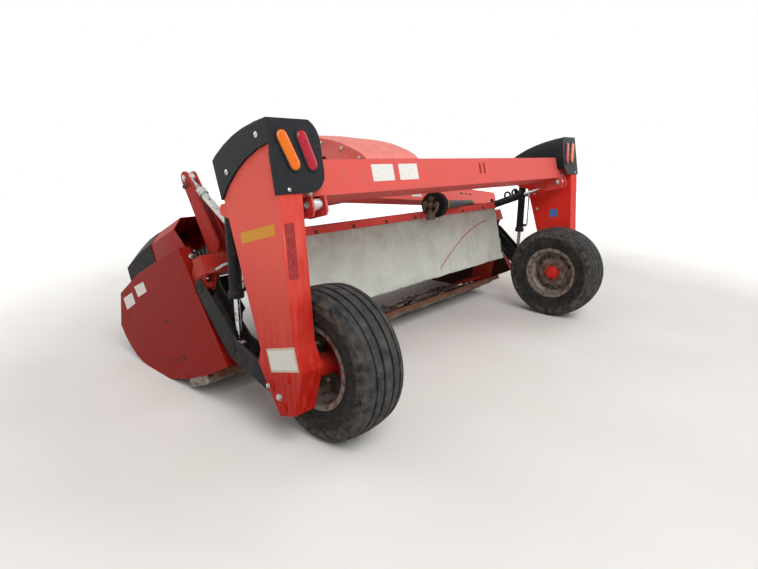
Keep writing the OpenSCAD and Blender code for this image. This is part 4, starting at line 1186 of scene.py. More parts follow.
@dataclass
class Wheels:
    """Tyres with rounded sidewall ribs, worn rims, red hubs with studs, caps and valves."""

    axes: Axes
    wheel_x: float = 1339.0
    ribs: tuple[tuple[float, float], ...] = ((236.0, 119.5), (250.0, 124.0), (300.0, 131.5), (336.0, 127.5))
    rib_sides: int = 64
    stud_circle: float = 82.0
    studs: int = 6
    disc_seat: float = -48.0

    def build(self, nodes: dict[str, bpy.types.Object], joints: Sequence[dict]) -> None:
        """Dresses both wheels and adds their small parts.

        Args:
            nodes: the frame's CAD nodes by name.
            joints: the joints with their bodies.
        """
        axles = {joint["child"]: tuple(joint["pos_m"]) for joint in joints if "pos_m" in joint}
        for side in Side:
            body = f"wheel_{side.word}"
            rubber = TyreRubber(f"tyre_rubber_{side.word}", axle=axles[body])
            rubber.dress(nodes[f"tyre_{side.word}"])
            Stock.rim.dress(nodes[f"rim_{side.word}"])
            Paint.hub.dress(nodes[f"hub_{side.word}"])
            self.add_ribs(side, body, rubber)
            self.add_studs(side, body)

    def outward(self, side: Side, along: float) -> Vector:
        """Returns the place on the wheel's axle at a distance outwards from the wheel's middle."""
        return self.axes.at(side.value * (self.wheel_x + along), 0, 0)

    def add_ribs(self, side: Side, body: str, rubber: TyreRubber) -> None:
        """Adds the moulded rings on both sidewalls, where the wall stands.

        Args:
            side: the side of the machine.
            body: the wheel's body.
            rubber: the tyre's finish.
        """
        ribs = Form()
        way = self.axes.way(side.value, 0, 0)
        across, beside = Vector((0, 1, 0)), Vector((0, 0, 1))
        for face in (1, -1):
            for radius, seat in self.ribs:
                loops = []
                for i in range(self.rib_sides):
                    turn = 2 * math.pi * i / self.rib_sides
                    arm = across * math.cos(turn) + beside * math.sin(turn)
                    loops.append([self.outward(side, 0) + arm * (radius + dr) * MM + way * face * (seat + dx) * MM
                                  for dr, dx in ((-4, 0), (-2, 3), (2, 3), (4, 0))])
                ribs.loft(loops, ring=True)
        ribs.place(f"tyre_ribs_{side.word}", body, rubber, "tyre_rubber")

    def add_studs(self, side: Side, body: str) -> None:
        """Adds wheel nuts on both ends of the studs, the hub's cap and the valve.

        Args:
            side: the side of the machine.
            body: the wheel's body.
        """
        nuts, cap, valve = Form(), Form(), Form()
        out = self.axes.way(side.value, 0, 0)
        for i in range(self.studs):
            turn = 2 * math.pi * i / self.studs + math.pi / 6
            arm = (Vector((0, 1, 0)) * math.cos(turn) + Vector((0, 0, 1)) * math.sin(turn)) * self.stud_circle * MM
            nuts.bolt(self.outward(side, self.disc_seat + 14) + arm, out, 15)
            nuts.bolt(self.outward(side, self.disc_seat - 24) + arm, -out, 15)
        nuts.place(f"wheel_nuts_{side.word}", body, Stock.rust, "rusty_steel")
        cap.turned(self.outward(side, self.disc_seat + 120), out,
                   [(0, 50), (6, 50), (9, 44), (22, 40), (30, 28), (33, 10), (33, 0)], 32)
        cap.turned(self.outward(side, self.disc_seat - 62), -out, [(0, 36), (3, 36), (5, 31), (5, 31.5)], 32)
        cap.place(f"hub_cap_{side.word}", body, Paint.hub, "red_paint")
        foot = self.outward(side, 40) + Vector((0, 0, 1)) * 168 * MM
        valve.turned(foot, (out * 0.9 + Vector((0, 0, -0.45))),
                     [(0, 5), (26, 5), (27, 7), (40, 7), (42, 5), (42, 0)], 12)
        valve.place(f"tyre_valve_{side.word}", body, Stock.hose, "black_plastic")


# Drawbar and driveline


@dataclass
class Drawbar:
    """Folded drawbar with its label, slot plugs, welded seams and hitch bolts."""

    axes: Axes
    half_wide: float = 90.0
    half_high: float = 75.0
    film: float = 0.8

    def build(self, nodes: dict[str, bpy.types.Object]) -> None:
        """Dresses the drawbar and adds its small parts.

        Args:
            nodes: the frame's CAD nodes by name.
        """
        Paint.drawbar.dress(nodes["drawbar"])
        Paint.frame.dress(nodes["drawbar_hitch"])
        self.add_label()
        self.add_seams()
        self.add_bolts()

    def add_label(self) -> None:
        """Sticks the blank label, and black patches as painted shade in the three short slots on the near side."""
        film, slots = Form(), Form()
        back = self.axes.way(0, -1, 0) * MM
        corners = ((1083, -49), (1296, -46), (1306, 8), (1088, 6))
        film.slab([self.axes.at(s, -self.half_wide, w) for s, w in corners], back * self.film)
        film.place("drawbar_label", "drawbar", Stock.label, "canvas")
        # Painted shade: thin black patches stand in for the shade inside the three short slots.
        for start, end in ((2400, 2480), (2575, 2640), (2730, 2790)):
            slots.slab([self.axes.at(s, -self.half_wide, w) for s, w in stadium((start, 20), (end, 20), 9)], back * 1.5)
        slots.place("drawbar_slot_plugs", "drawbar", Paint.black, "black_paint")

    def add_seams(self) -> None:
        """Adds the welded seams along the drawbar's corners."""
        seams = Form()
        for side in (-1, 1):
            for high in (-self.half_high - 0.5, self.half_high - 0.5):
                seams.pipe([self.axes.at(s, side * (self.half_wide - 1), high + (1 if high < 0 else -1))
                            for s in range(120, 3830, 90)], 3.2, 6)
        seams.place("drawbar_seams", "drawbar", Paint.drawbar, "red_paint")

    def add_bolts(self) -> None:
        """Adds the bolts of the hitch cheeks."""
        bolts = Form()
        for outer in (-1, 1):
            for s in (3460, 3800, 3560, 3700):
                bolts.bolt(self.axes.at(s, outer * self.half_wide, -110), self.axes.way(0, outer, 0), 18)
        bolts.place("hitch_bolts", "drawbar", Stock.zinc, "zinc_plate")


@dataclass
class Driveline:
    """Stowed driveline half: guard cone with its lip, open universal joint, sleeve and band."""

    axes: Axes
    tail: tuple[float, float, float] = (178.0, 496.0, 1000.5)
    head: tuple[float, float, float] = (1146.0, 751.0, 930.2)

    def build(self, nodes: dict[str, bpy.types.Object]) -> None:
        """Dresses the shaft and builds the joint, the cone's ribs and the bands.

        Args:
            nodes: the frame's CAD nodes by name.
        """
        Stock.guard_cone.dress(nodes["pto_shaft"])
        start, end = self.axes.at(*self.tail), self.axes.at(*self.head)
        way = (end - start).normalized()
        self.add_cone_trim(start, way)
        self.add_bands(start, way)
        self.add_joint(start, way)

    def add_cone_trim(self, start: Vector, way: Vector) -> None:
        """Adds the rolled lip, inner ring and holding ribs of the guard cone.

        Args:
            start: centre of the guard cone's open end, in metres.
            way: direction along the shaft, of length one.
        """
        trim = Form()
        trim.turned(start - way * 1 * MM, way, [(0, 87), (0, 94), (5, 97), (11, 94.5), (11, 92.8)], 40)
        for along, radius in ((26, 95.5), (44, 95.5), (60, 95)):
            trim.turned(start + way * along * MM, way, [(0, 92.8), (1, radius), (4, radius), (5, 92.8)], 40)
        across = way.orthogonal().normalized()
        for i in range(12):
            turn = Matrix.Rotation(2 * math.pi * i / 12, 3, way)
            arm = turn @ across
            bends = ((70, 90), (82, 70), (118, 56))
            trim.pipe([start + way * along * MM + arm * radius * MM for along, radius in bends], 3.5, 6)
        trim.place("driveline_cone_trim", "deck", Stock.guard_cone, "black_plastic")

    def add_bands(self, start: Vector, way: Vector) -> None:
        """Adds the grey sleeve, its yellow band and the bearing ring at the tube's end.

        Args:
            start: centre of the guard cone's open end, in metres.
            way: direction along the shaft, of length one.
        """
        sleeve, band = Form(), Form()
        sleeve.turned(start + way * 131 * MM, way,
                      [(0, 46), (14, 50), (60, 44), (90, 33), (130, 30), (820, 30), (824, 26), (824, 22.5)], 32)
        for along in range(180, 900, 45):
            sleeve.turned(start + way * along * MM, way, [(0, 29), (2, 31.5), (6, 31.5), (8, 29)], 24)
        sleeve.place("driveline_sleeve", "deck", Stock.sleeve, "black_plastic")
        band.turned(start + way * 225 * MM, way, [(0, 33), (1, 36), (34, 36), (35, 33)], 32)
        band.turned(start + way * 930 * MM, way, [(0, 30.2), (1, 34), (16, 34), (17, 30.2)], 32)
        band.place("driveline_bands", "deck", Stock.band, "black_plastic")

    def add_joint(self, start: Vector, way: Vector) -> None:
        """Builds the rusty universal joint: inner yoke, cross with its caps, and the outer yoke hanging open.

        Args:
            start: centre of the guard cone's open end, in metres.
            way: direction along the shaft, of length one.
        """
        joint = Form()
        side = way.cross(Vector((0, 0, 1))).normalized()
        over = side.cross(way)
        joint.turned(start + way * 63.7 * MM, -way, [(0, 30), (22, 30), (26, 28), (44, 28)], 24)
        for s in (-1, 1):
            arm = [start + way * (28 - 90 * t) * MM + side * s * (25 + 15 * math.sin(math.pi * t * 0.5)) * MM
                   for t in (0, 0.25, 0.5, 0.75, 1.0)]
            section = ((-24, -8), (24, -8), (26, 0), (24, 8), (-24, 8), (-26, 0))
            joint.loft([[p + (over * a + side * b) * MM for a, b in section] for p in arm])
        centre = start - way * 50 * MM
        for spoke in (side, over):
            cup = [(0, 10), (0, 17), (3, 19), (24, 19), (26, 12), (90, 12), (92, 19), (113, 19), (116, 17), (116, 10)]
            joint.turned(centre - spoke * 58 * MM, spoke, cup, 20)
        joint.turned(centre - way * 20 * MM, way, [(0, 0), (0, 17), (14, 22), (30, 22), (40, 14), (40, 0)], 16)
        self.add_hanging_yoke(joint, centre, side)
        joint.turned(centre + side * 6 * MM, (side + over).normalized(),
                     [(18, 3.5), (34, 3.5), (36, 5), (42, 4), (42, 0)], 8)
        joint.place("driveline_joint", "deck", Stock.joint, "rusty_steel", ("pto_yoke",), edge=1.5)

    def add_hanging_yoke(self, joint: Form, centre: Vector, side: Vector) -> None:
        """Adds the outer yoke, which hangs from the cross: two arms that close to a hub.

        Args:
            joint: the form that takes the yoke.
            centre: the cross's middle.
            side: direction of the pins that hold the yoke.
        """
        down = Vector((0, 0, -1))
        ahead = side.cross(down)
        stations = ((-22, 48, 15, 9), (0, 50, 23, 9), (22, 48, 24, 9), (44, 38, 24, 12), (60, 24, 22, 20))
        for s in (-1, 1):
            joint.loft([[centre + (down * fall + side * (s * out + a * thick / 2) + ahead * b * wide) * MM
                         for a, b in ((-1, -1), (1, -1), (1, 1), (-1, 1))] for fall, out, wide, thick in stations])
        joint.turned(centre + down * 52 * MM, down,
                     [(0, 22), (6, 33), (22, 35), (52, 33), (56, 29), (56, 19), (30, 18)], 24)


# Linkage


@dataclass
class Linkage:
    """Pressed lower arms, the zinc top link with its nut, and the cylinders' glands and pipes."""

    layout: Layout
    arm_base: tuple[float, float] = (133.0, 304.0)
    arm_bend: tuple[float, float] = (460.0, 400.0)
    arm_length: float = 713.0
    arm_rise: float = 31.0
    plate_x: tuple[float, float] = (1500.0, 1588.0)
    plate_t: float = 8.0
    top_link_x: float = -1445.0
    damper_foot: tuple[float, float] = (767.0, 866.0)
    lift_x: float = 1548.0
    lift_v: float = 467.0
    port_profile: tuple[tuple[float, float], ...] = ((0, 12), (14, 12), (14, 15), (24, 15), (24, 9), (34, 9))
    damper_port_profile: tuple[tuple[float, float], ...] = ((0, 12), (12, 12), (12, 15), (22, 15), (22, 9), (30, 9))

    def build(self, nodes: dict[str, bpy.types.Object]) -> None:
        """Dresses the linkage and adds its small parts.

        Args:
            nodes: the frame's CAD nodes by name.
        """
        finishes = {"lift_arms": Paint.black, "lift_rods": Stock.chrome, "top_link": Stock.zinc,
                    "damper_barrels": Paint.black, "damper_rods": Stock.chrome}
        for name, finish in finishes.items():
            finish.dress(nodes[name])
        self.add_arm_lips()
        self.add_pin_heads()
        self.add_top_link()
        self.add_glands()
        self.add_pipes()

    def tip(self) -> tuple[float, float]:
        """Returns the lower arm's front pin."""
        rise = math.radians(self.arm_rise)
        return self.arm_base[0] + self.arm_length * math.cos(rise), self.arm_base[1] + self.arm_length * math.sin(rise)

    def add_arm_lips(self) -> None:
        """Rolls a raised lip along the upper and lower edges of each arm's two sides."""
        lips = Form()
        stops = ((self.arm_base, 50.0), (self.arm_bend, 58.0), (self.tip(), 42.0))
        for side in Side:
            for x in (self.plate_x[0] + self.plate_t / 2, self.plate_x[1] + self.plate_t / 2):
                for edge in (1, -1):
                    points = []
                    for (a, ra), (b, rb) in zip(stops, stops[1:]):
                        run = Vector((b[0] - a[0], b[1] - a[1])).normalized()
                        normal = Vector((-run.y, run.x)) * edge
                        for t in (0.1, 0.35, 0.65, 0.92):
                            spot = Vector(a).lerp(Vector(b), t) + normal * (ra + (rb - ra) * t - 1)
                            points.append(self.layout.upright.at(side.value * x, spot.x, spot.y))
                    lips.pipe(smooth_way(points, 4), 6.5, 8)
        lips.place("lift_arm_lips", "lift_arms", Paint.black, "black_paint")

    def add_pin_heads(self) -> None:
        """Adds ring collars on the arms' pins and the cylinder's foot pin."""
        rings = Form()
        for side in Side:
            out = self.layout.upright.way(side.value, 0, 0)
            for (v, w), radius in ((self.arm_bend, 27.0), (self.tip(), 30.0)):
                start = self.layout.upright.at(side.value * (self.plate_x[1] + self.plate_t - 0.5), v, w)
                rings.turned(start, out, [(0, radius), (4, radius), (6, radius - 3), (6, radius - 12),
                                          (3, radius - 13), (3, 0)], 28)
                inner = self.layout.upright.at(side.value * (self.plate_x[0] + 0.5), v, w)
                rings.turned(inner, -out, [(0, radius), (4, radius), (6, radius - 3), (6, 0)], 28)
        rings.place("lift_arm_rings", "lift_arms", Paint.black, "black_paint")

    def add_top_link(self) -> None:
        """Adds the turnbuckle's threads, lock nut and hexagon to the top link."""
        fittings = Form()
        rise = math.radians(self.arm_rise)
        way = self.layout.upright.way(0, math.cos(rise), math.sin(rise))
        rear = self.layout.upright.at(self.top_link_x, TOP_LINK_FRONT[0] - self.arm_length * math.cos(rise),
                                      TOP_LINK_FRONT[1] - self.arm_length * math.sin(rise))
        fittings.turned(rear + way * 0.76 * self.arm_length * MM, way, [(0, 30), (46, 30), (50, 26)], 6)
        fittings.turned(rear + way * 0.22 * self.arm_length * MM, way, [(0, 27), (34, 27)], 6)
        for s in (*range(575, 625, 5), *range(100, 158, 5)):
            fittings.turned(rear + way * s * MM, way, [(0, 15), (1.2, 17), (2.8, 17), (4, 15)], 20)
        fittings.place("top_link_nuts", "top_link", Stock.zinc, "zinc_plate")

    def add_glands(self) -> None:
        """Adds the gland collars and ports of the lift cylinders and dampers."""
        lift, damper = Form(), Form()
        run = (Vector(DAMPER_EYE) - Vector(self.damper_foot)).normalized()
        for side in Side:
            foot = self.layout.upright.at(side.value * self.lift_x, self.lift_v, 657)
            lift.turned(foot, self.layout.upright.up, [(0, 17), (0, 36), (4, 40), (36, 40), (40, 34), (40, 32.5)], 32)
            for w in (720, 1000):
                port = self.layout.upright.at(side.value * self.lift_x, self.lift_v - 30, w)
                lift.turned(port, self.layout.upright.way(0, -1, 0), self.port_profile, 6)
            base = self.layout.upright.at(side.value * DAMPER_X, *self.damper_foot)
            way = self.layout.upright.way(0, run.x, run.y)
            damper.turned(base + way * 400 * MM, way, [(0, 33), (2, 37), (28, 37), (31, 30), (31, 13)], 28)
            damper.turned(base + way * 66 * MM, way, [(0, 32.5), (3, 36), (22, 36), (25, 32.5)], 28)
            for s in (110, 360):
                over = self.layout.upright.way(0, -run.y, run.x) * (-1 if run.x < 0 else 1)
                damper.turned(base + way * s * MM + over * 30 * MM, over, self.damper_port_profile, 6)
        lift.place("lift_cylinder_glands", "carriage", Paint.black, "black_paint")
        damper.place("damper_glands", "damper_barrels", Paint.black, "black_paint")

    def add_pipes(self) -> None:
        """Adds the steel pipes along the lift cylinders and the bent pipes over the dampers."""
        pipes = Form()
        up = self.layout.upright
        for side in Side:
            bends = ((405, 720), (398, 730), (396, 760), (396, 940), (398, 985), (405, 998))
            pipes.pipe(smooth_way([up.at(side.value * self.lift_x, v, w) for v, w in bends], 4), 6, 10)
        pipes.place("lift_cylinder_pipes", "carriage", Stock.zinc, "zinc_plate")
        loops = Form()
        run = (Vector(DAMPER_EYE) - Vector(self.damper_foot)).normalized()
        way, over = up.way(0, run.x, run.y), up.way(0, run.y, -run.x)
        if over.z < 0:
            over.negate()
        for side in Side:
            base = up.at(side.value * DAMPER_X, *self.damper_foot)
            for start in (250, 328):
                bow = [(start, 30), (start - 3, 46), (start + 12, 66), (start + 38, 66), (start + 53, 46),
                       (start + 50, 30)]
                loops.pipe(smooth_way([base + (way * s + over * high) * MM for s, high in bow], 5), 9, 10)
        loops.place("damper_pipes", "damper_barrels", Stock.hose, "black_plastic")


# Deck


@dataclass
class Deck:
    """Mowing deck: side guards, cover, rail, frame, gearbox, cutterbar and discs."""

    axes: Axes
    guard_x: float = 1600.0
    rail_v: float = -150.0
    rail_w: float = 615.0
    rail_pitch: float = 330.0
    rail_first: float = -1199.0
    disc_pitch: float = 433.0
    blade_bolt_reach: float = 172.0
    rail_bolts: int = 8
    cover_inner: float = -1251.0
    datum: tuple[float, float] = (522.0, 275.188)
    film: float = 0.8

    def build(self, nodes: dict[str, bpy.types.Object]) -> None:
        """Dresses the deck's nodes and adds its small parts.

        Args:
            nodes: the frame's CAD nodes by name.
        """
        finishes = {"deck_frame": Paint.frame, "headstock": Paint.headstock, "gearbox_cover": Paint.cover,
                    "deck_gearbox": Stock.iron, "cutterbar": Stock.steel, "rear_bar": Stock.rust,
                    "guard_left": Paint.guard, "guard_right": Paint.guard_right, "top_cover": Paint.cover,
                    "rear_rail": Paint.rail, **{f"disc_{n}": Stock.steel for n in range(2, 7)},
                    "disc_1": Paint.hub, "disc_7": Paint.hub}
        for name, finish in finishes.items():
            finish.dress(nodes[name])
        self.add_rail_bolts()
        self.add_guard_trim()
        self.add_headstock_bolts()
        self.add_gearbox_trim()
        self.add_cover_front()
        self.add_lever()
        self.add_cutterbar_trim()
        self.add_disc_trim()

    def add_rail_bolts(self) -> None:
        """Adds the dark round-headed bolts along the clamp rail."""
        bolts = Form()
        for i in range(self.rail_bolts):
            seat = self.axes.at(self.rail_first + i * self.rail_pitch, self.rail_v, self.rail_w)
            bolts.turned(seat, self.axes.way(0, -1, 0), [(0, 15), (2, 15), (4, 12), (7, 10), (9, 5), (9, 0)], 16)
        bolts.place("rail_bolts", "deck", Stock.rust, "rusty_steel")

    def add_guard_trim(self) -> None:
        """Adds the guards' flange bolts, hole plugs, blank labels and folded edges."""
        bolts, plugs = Form(), Form()
        for side in Side:
            edge = Vector((163, 700)).normalized()
            back = self.axes.way(0, -edge.y, edge.x)
            for share in (0.27, 0.59, 0.91):
                spot = self.axes.at(side.value * 1543, 163 * share, 700 * share)
                bolts.bolt(spot + back * 5 * MM, back, 14)
            out = self.axes.way(side.value, 0, 0)
            for v, w in ((671, 120), (544, 105), (448, 109), (556, 351)):
                plugs.turned(self.axes.at(side.value * self.guard_x, v, w), out,
                             [(0, 13), (1.2, 13), (1.2, 10), (0.4, 9), (0.4, 0)], 20)
        bolts.place("guard_flange_bolts", "deck", Stock.zinc, "zinc_plate")
        plugs.place("guard_hole_plugs", "deck", Stock.ring, "black_plastic")
        film = Form()
        out = self.axes.way(-1, 0, 0) * MM
        for corners in (((868, 634), (716, 632), (704, 566), (852, 560)),
                        ((1092, 602), (930, 608), (924, 534), (1084, 520))):
            film.slab([self.axes.at(-self.guard_x, v, w) for v, w in corners], out * self.film)
        film.place("guard_labels", "deck", Stock.label, "canvas")
        beads = Form()
        for side in Side:
            rim = [(0, 0), (163, 700), (779, 690), (1120, 641)]
            for (v0, w0), (v1, w1) in zip(rim, rim[1:]):
                beads.pipe([self.axes.at(side.value * (self.guard_x - 3), v0 + (v1 - v0) * t, w0 + (w1 - w0) * t)
                            for t in (0, 0.25, 0.5, 0.75, 1)], 4, 8)
        beads.place("guard_folded_edges", "deck", Paint.cover, "red_paint")

    def add_headstock_bolts(self) -> None:
        """Adds the bolts of the gearbox's plate and of the top link's lug."""
        bolts, heads = Form(), Form()
        for v, w in ((401, 849), (307, 829), (90, 730), (150, 700)):
            bolts.bolt(self.axes.at(-1250, v, w), self.axes.way(-1, 0, 0), 18)
        dy, dz = TOP_LINK_FRONT[0] - self.datum[0], TOP_LINK_FRONT[1] - self.datum[1]
        pitch = math.atan2(-self.axes.forward.z, self.axes.forward.y)
        pin = (dy * math.cos(pitch) - dz * math.sin(pitch), dy * math.sin(pitch) + dz * math.cos(pitch))
        for out, x in ((-1, -1476), (1, -1414)):
            way = self.axes.way(out, 0, 0)
            heads.turned(self.axes.at(x, *pin), way,
                         [(0, 17), (4, 17), (5, 15), (5, 11), (9, 11), (10, 9), (10, 0)], 20)
            for turn in (-1, 1):
                bolts.bolt(self.axes.at(x, pin[0] + turn * 20, pin[1] - 42), way, 12)
        bolts.place("headstock_bolts", "deck", Stock.rust, "rusty_steel")
        heads.place("top_link_pin_head", "deck", Stock.zinc, "zinc_plate")

    def add_gearbox_trim(self) -> None:
        """Adds the input's ribbed boot, and the gearbox's bolts, filler plug and ribs."""
        boot, bolts, ribs = Form(), Form(), Form()
        back = self.axes.way(0, -1, 0)
        start = self.axes.at(-1299, 209, 640)
        profile = [(0, 50), (6, 55)]
        for i in range(4):
            profile += [(14 + i * 14, 54 - i), (21 + i * 14, 51 - i)]
        profile += [(120, 50), (127, 49), (127, 40), (60, 38)]
        boot.turned(start, back, profile, 32)
        boot.place("gearbox_input_boot", "deck", Stock.guard_cone, "black_plastic")
        for x in (-1355, -1265):
            for w in (615, 705):
                bolts.bolt(self.axes.at(x, 210, w), back, 10)
            for v in (230, 450):
                bolts.bolt(self.axes.at(x, v, 720), self.axes.up, 12)
        bolts.bolt(self.axes.at(-1310, 340, 720), self.axes.up, 20)
        bolts.place("gearbox_bolts", "deck", Stock.zinc, "zinc_plate")
        for v in (260, 310, 360, 410):
            corners = ((-1369, 612), (-1369, 708), (-1381, 698), (-1381, 622))
            ribs.slab([self.axes.at(x, v, w) for x, w in corners], self.axes.way(0, 8, 0) * MM)
        ribs.place("gearbox_ribs", "deck", Stock.iron, "cast_gearbox", edge=1.0)

    def add_lever(self) -> None:
        """Adds the bright hand lever on the main tube's rear face beside the gearbox."""
        lever = Form()
        bends = [(-1553, -84, 504), (-1527, -86, 517), (-1500, -84, 526), (-1462, -78, 532), (-1430, -70, 534),
                 (-1418, -49, 534)]
        lever.pipe(smooth_way([self.axes.at(*bend) for bend in bends], 5), 8, 12)
        lever.turned(self.axes.at(-1418, -50.5, 534), self.axes.way(0, -1, 0),
                     [(0, 24), (10, 24), (12, 21), (22, 15), (22, 0)], 20)
        lever.place("hand_lever", "deck", Stock.chrome, "zinc_plate")

    def add_cover_front(self) -> None:
        """Closes the gearbox cover's front end and inner side, and adds the rubber flap ahead of it."""
        end, flap = Form(), Form()
        section = [(-1549, 702), (-1549, 823), (-1480, 891), (self.cover_inner, 891), (self.cover_inner, 702)]
        end.slab([self.axes.at(x, 571 + (w - 702) * 0.8, w) for x, w in section], self.axes.way(0, 4, 0) * MM)
        wall = ((469, 602), (569, 700), (722, 892), (469, 930))
        end.slab([self.axes.at(self.cover_inner, v, w) for v, w in wall], self.axes.way(-4, 0, 0) * MM)
        end.place("gearbox_cover_end", "deck", Paint.cover, "red_paint")
        loops = []
        stations = ((572, 703, 826, 898), (730, 700, 822, 896), (880, 688, 806, 878), (1000, 668, 786, 858))
        for v, foot, eave, roof in stations:
            line = [(-1558, foot), (-1558, eave), (-1482, roof), (-1256, roof)]
            back = [(min(x + 5, -1256), w - 5 if w > foot else w) for x, w in reversed(line)]
            loops.append([self.axes.at(x, v, w) for x, w in line + back])
        flap.loft(loops)
        flap.place("gearbox_cover_flap", "deck", Stock.apron, "curtain_rubber")

    def add_cutterbar_trim(self) -> None:
        """Adds the bolts between the discs and the wear skids under the bar."""
        bolts, skids = Form(), Form()
        for i in range(-3, 3):
            x = (i + 0.5) * self.disc_pitch
            for v in (290, 340, 400, 450):
                bolts.bolt(self.axes.at(x, v, -18), self.axes.up, 10)
        outline = ((250, -48), (262, -70), (300, -80), (470, -80), (535, -62), (560, -40), (556, -36), (532, -56),
                   (470, -74), (300, -74), (266, -64), (255, -46))
        for i in range(-3, 4):
            skids.slab([self.axes.at(i * self.disc_pitch - 95, v, w) for v, w in outline],
                       self.axes.way(190, 0, 0) * MM)
        bolts.place("cutterbar_bolts", "deck", Stock.rust, "rusty_steel")
        skids.place("cutterbar_skids", "deck", Stock.steel, "bare_steel", edge=0.8)

    def add_disc_trim(self) -> None:
        """Adds each disc's cap bolts and blade bolts."""
        for number in range(1, 8):
            trim = Form()
            x = (number - 4) * self.disc_pitch
            turn = math.pi / 2 if number % 2 == 0 else 0.0
            # The first disc's drum is tall, and its bolts stand closer together.
            reach, high = (45, 302) if number == 1 else (58, 36)
            for i in range(4):
                a = turn + math.pi / 2 * i + math.pi / 4
                seat = self.axes.at(x + reach * math.cos(a), DISC_FORWARD + reach * math.sin(a), high)
                trim.bolt(seat, self.axes.up, 10)
            reach = self.blade_bolt_reach
            for a in (turn, turn + math.pi):
                seat = self.axes.at(x + reach * math.cos(a), DISC_FORWARD + reach * math.sin(a), 4)
                trim.turned(seat, self.axes.up, [(0, 15), (14, 15), (20, 11), (20, 0)], 16)
            trim.place(f"disc_{number}_bolts", f"disc_{number}", Stock.rust, "rusty_steel")


# Curtains


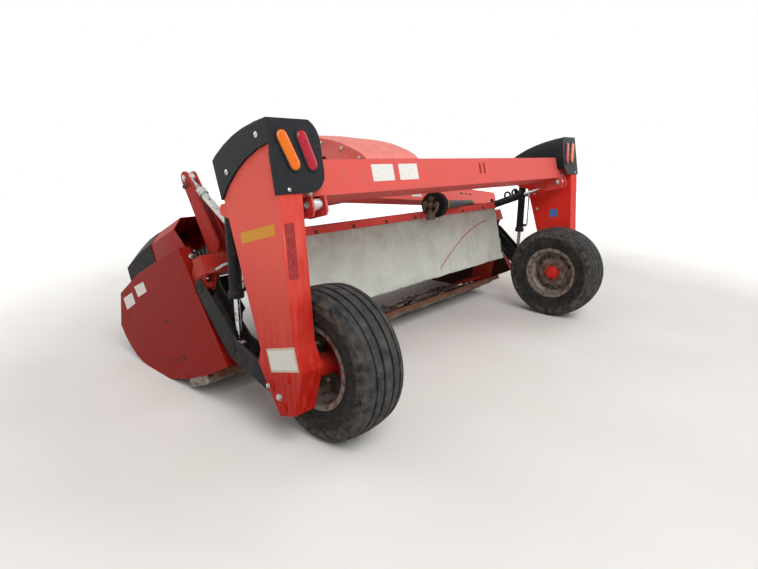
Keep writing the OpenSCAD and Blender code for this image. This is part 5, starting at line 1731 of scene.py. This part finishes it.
@dataclass
class Curtain:
    """A cloth apron clamped along its upper edge and hung by simulation.

    The clamped edge is a little shorter than the cloth was cut, so the cloth buckles into soft folds.
    """

    axes: Axes
    name: str
    half_wide: float
    top: tuple[float, float]
    clamp: float
    foot: tuple[float, float]
    spare: float = 0.02
    cell: float = 17.0
    frames: int = 26
    thickness: float = 1.8
    seed: int = 7
    ripple: float = 26.0
    gravity: float = 9.81

    def run(self) -> tuple[Vector, float]:
        """Returns the cloth's downward direction in forward and up, and its free length."""
        way = Vector((self.foot[0] - self.top[0], self.foot[1] - (self.top[1] - self.clamp)))
        return way.normalized(), way.length

    def spot(self, x: float, down: float) -> Vector:
        """Finds the place of a point of the uncreased cloth.

        Args:
            x: place across in millimetres.
            down: way down along the cloth in millimetres.

        Returns:
            The place in metres.
        """
        if down <= self.clamp:
            return self.axes.at(x, self.top[0], self.top[1] - down)
        way, _ = self.run()
        v = self.top[0] + way.x * (down - self.clamp)
        w = self.top[1] - self.clamp + way.y * (down - self.clamp)
        return self.axes.at(x, v, w)

    def cloth(self) -> bpy.types.Object:
        """Makes the cut cloth in a fine grid, with its cut kept as a map and its clamped rows as a group.

        Returns:
            The cloth's object, not fallen yet.
        """
        _, free = self.run()
        deep = self.clamp + free
        columns, rows = round(2 * self.half_wide / self.cell), round(deep / self.cell)
        bm = bmesh.new()
        cut = bm.loops.layers.uv.new("cut")
        grid = [[bm.verts.new(self.spot(-self.half_wide + 2 * self.half_wide * i / columns, deep * j / rows))
                 for i in range(columns + 1)] for j in range(rows + 1)]
        places = {vert: (i / columns * 2 * self.half_wide * MM, j / rows * deep * MM)
                  for j, row in enumerate(grid) for i, vert in enumerate(row)}
        for j in range(rows):
            for i in range(columns):
                face = bm.faces.new((grid[j][i], grid[j][i + 1], grid[j + 1][i + 1], grid[j + 1][i]))
                for loop in face.loops:
                    loop[cut].uv = places[loop.vert]
        rng = random.Random(self.seed)
        ahead = self.axes.way(0, 1, 0)
        phase = rng.uniform(0, 50)
        for j, row in enumerate(grid):
            slack = max(0.0, j / rows - self.clamp / deep)
            for vert in row:
                broad = noise.noise(Vector((vert.co.x * 4.5 + phase, j * 0.05, 0.0)))
                fine = noise.noise(Vector((vert.co.x * 11 + phase, j * 0.09, 3.0)))
                vert.co += ahead * (broad * 0.7 + fine * 0.3) * slack * self.ripple * MM
        mesh = bpy.data.meshes.new(self.name)
        bm.to_mesh(mesh)
        bm.free()
        piece = bpy.data.objects.new(self.name, mesh)
        bpy.context.scene.collection.objects.link(piece)
        held = piece.vertex_groups.new(name="clamped")
        gripped = [j for j in range(rows + 1) if deep * j / rows <= self.clamp]
        held.add([j * (columns + 1) + i for j in gripped for i in range(columns + 1)], 1.0, "REPLACE")
        return piece

    def drop(self, piece: bpy.types.Object) -> bpy.types.Object:
        """Lets the cloth fall from its clamp and returns it as a plain mesh.

        Args:
            piece: the cut cloth.

        Returns:
            A new object that holds the fallen cloth.
        """
        scene = bpy.context.scene
        piece.shape_key_add(name="hung")
        flat = piece.shape_key_add(name="cut")
        middle = self.axes.at(0, 0, 0).x
        for point in flat.data:
            point.co.x = middle + (point.co.x - middle) * (1 + self.spare)
        cloth = piece.modifiers.new("fall", "CLOTH")
        settings = cloth.settings
        settings.quality, settings.mass, settings.vertex_group_mass = 6, 0.18, "clamped"
        settings.tension_stiffness = settings.compression_stiffness = 60
        settings.shear_stiffness, settings.bending_stiffness = 25, 6
        settings.tension_damping = settings.compression_damping = settings.bending_damping = 12
        settings.air_damping = 4
        settings.rest_shape_key = flat
        cloth.collision_settings.use_collision = False
        way, _ = self.run()
        level = tuple(scene.gravity)
        scene.gravity = self.axes.way(0, way.x, way.y) * self.gravity
        for frame in range(1, self.frames + 1):
            scene.frame_set(frame)
        graph = bpy.context.evaluated_depsgraph_get()
        mesh = bpy.data.meshes.new_from_object(piece.evaluated_get(graph), preserve_all_data_layers=True,
                                               depsgraph=graph)
        scene.frame_set(1)
        scene.gravity = level
        bpy.data.objects.remove(piece)
        mesh.name = self.name
        hung = bpy.data.objects.new(self.name, mesh)
        scene.collection.objects.link(hung)
        return hung

    def build(self, finish: Finish, slot: str, hung_from: str) -> None:
        """Args:
            finish: the cloth's surface.
            slot: its material slot; not used.
            hung_from: the piece that clamps it; not used.
        """
        piece = self.cloth()
        piece = self.drop(piece)
        piece.data.materials.clear()
        piece.data.materials.append(finish.material())
        piece.data.shade_smooth()
        body = piece.modifiers.new("thickness", "SOLIDIFY")
        body.thickness, body.offset = self.thickness * MM, 0.0
        hang(piece, "deck", (self.name.replace("_cloth", ""),))


def main() -> None:
    """Loads the frame and builds every sub-assembly in order."""
    logging.basicConfig(level=logging.INFO, format="%(name)s: %(message)s")
    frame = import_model()
    nodes, joints = frame["nodes"], frame["joints"]
    layout = Layout.of(joints)
    Studio().build()
    Carriage(layout.carriage).build(nodes)
    Fairings(layout.carriage).build(nodes)
    Wheels(layout.carriage).build(nodes, joints)
    Drawbar(layout.drawbar).build(nodes)
    Driveline(layout.upright).build(nodes)
    Linkage(layout).build(nodes)
    Deck(layout.deck).build(nodes)
    rear = Curtain(layout.deck, "rear_curtain_cloth", 1332.0, (-138.0, 650.0), 48.0, (-84.0, 122.0))
    rear.build(Stock.canvas, "canvas", "rear_rail")
    front = Curtain(layout.deck, "front_curtain_cloth", 1590.0, (1123.5, 612.0), 40.0, (1192.0, 235.0), spare=0.01,
                    cell=26.0, seed=3)
    front.build(Stock.apron, "curtain_rubber", "deck_frame")


if __name__ == "__main__":
    main()
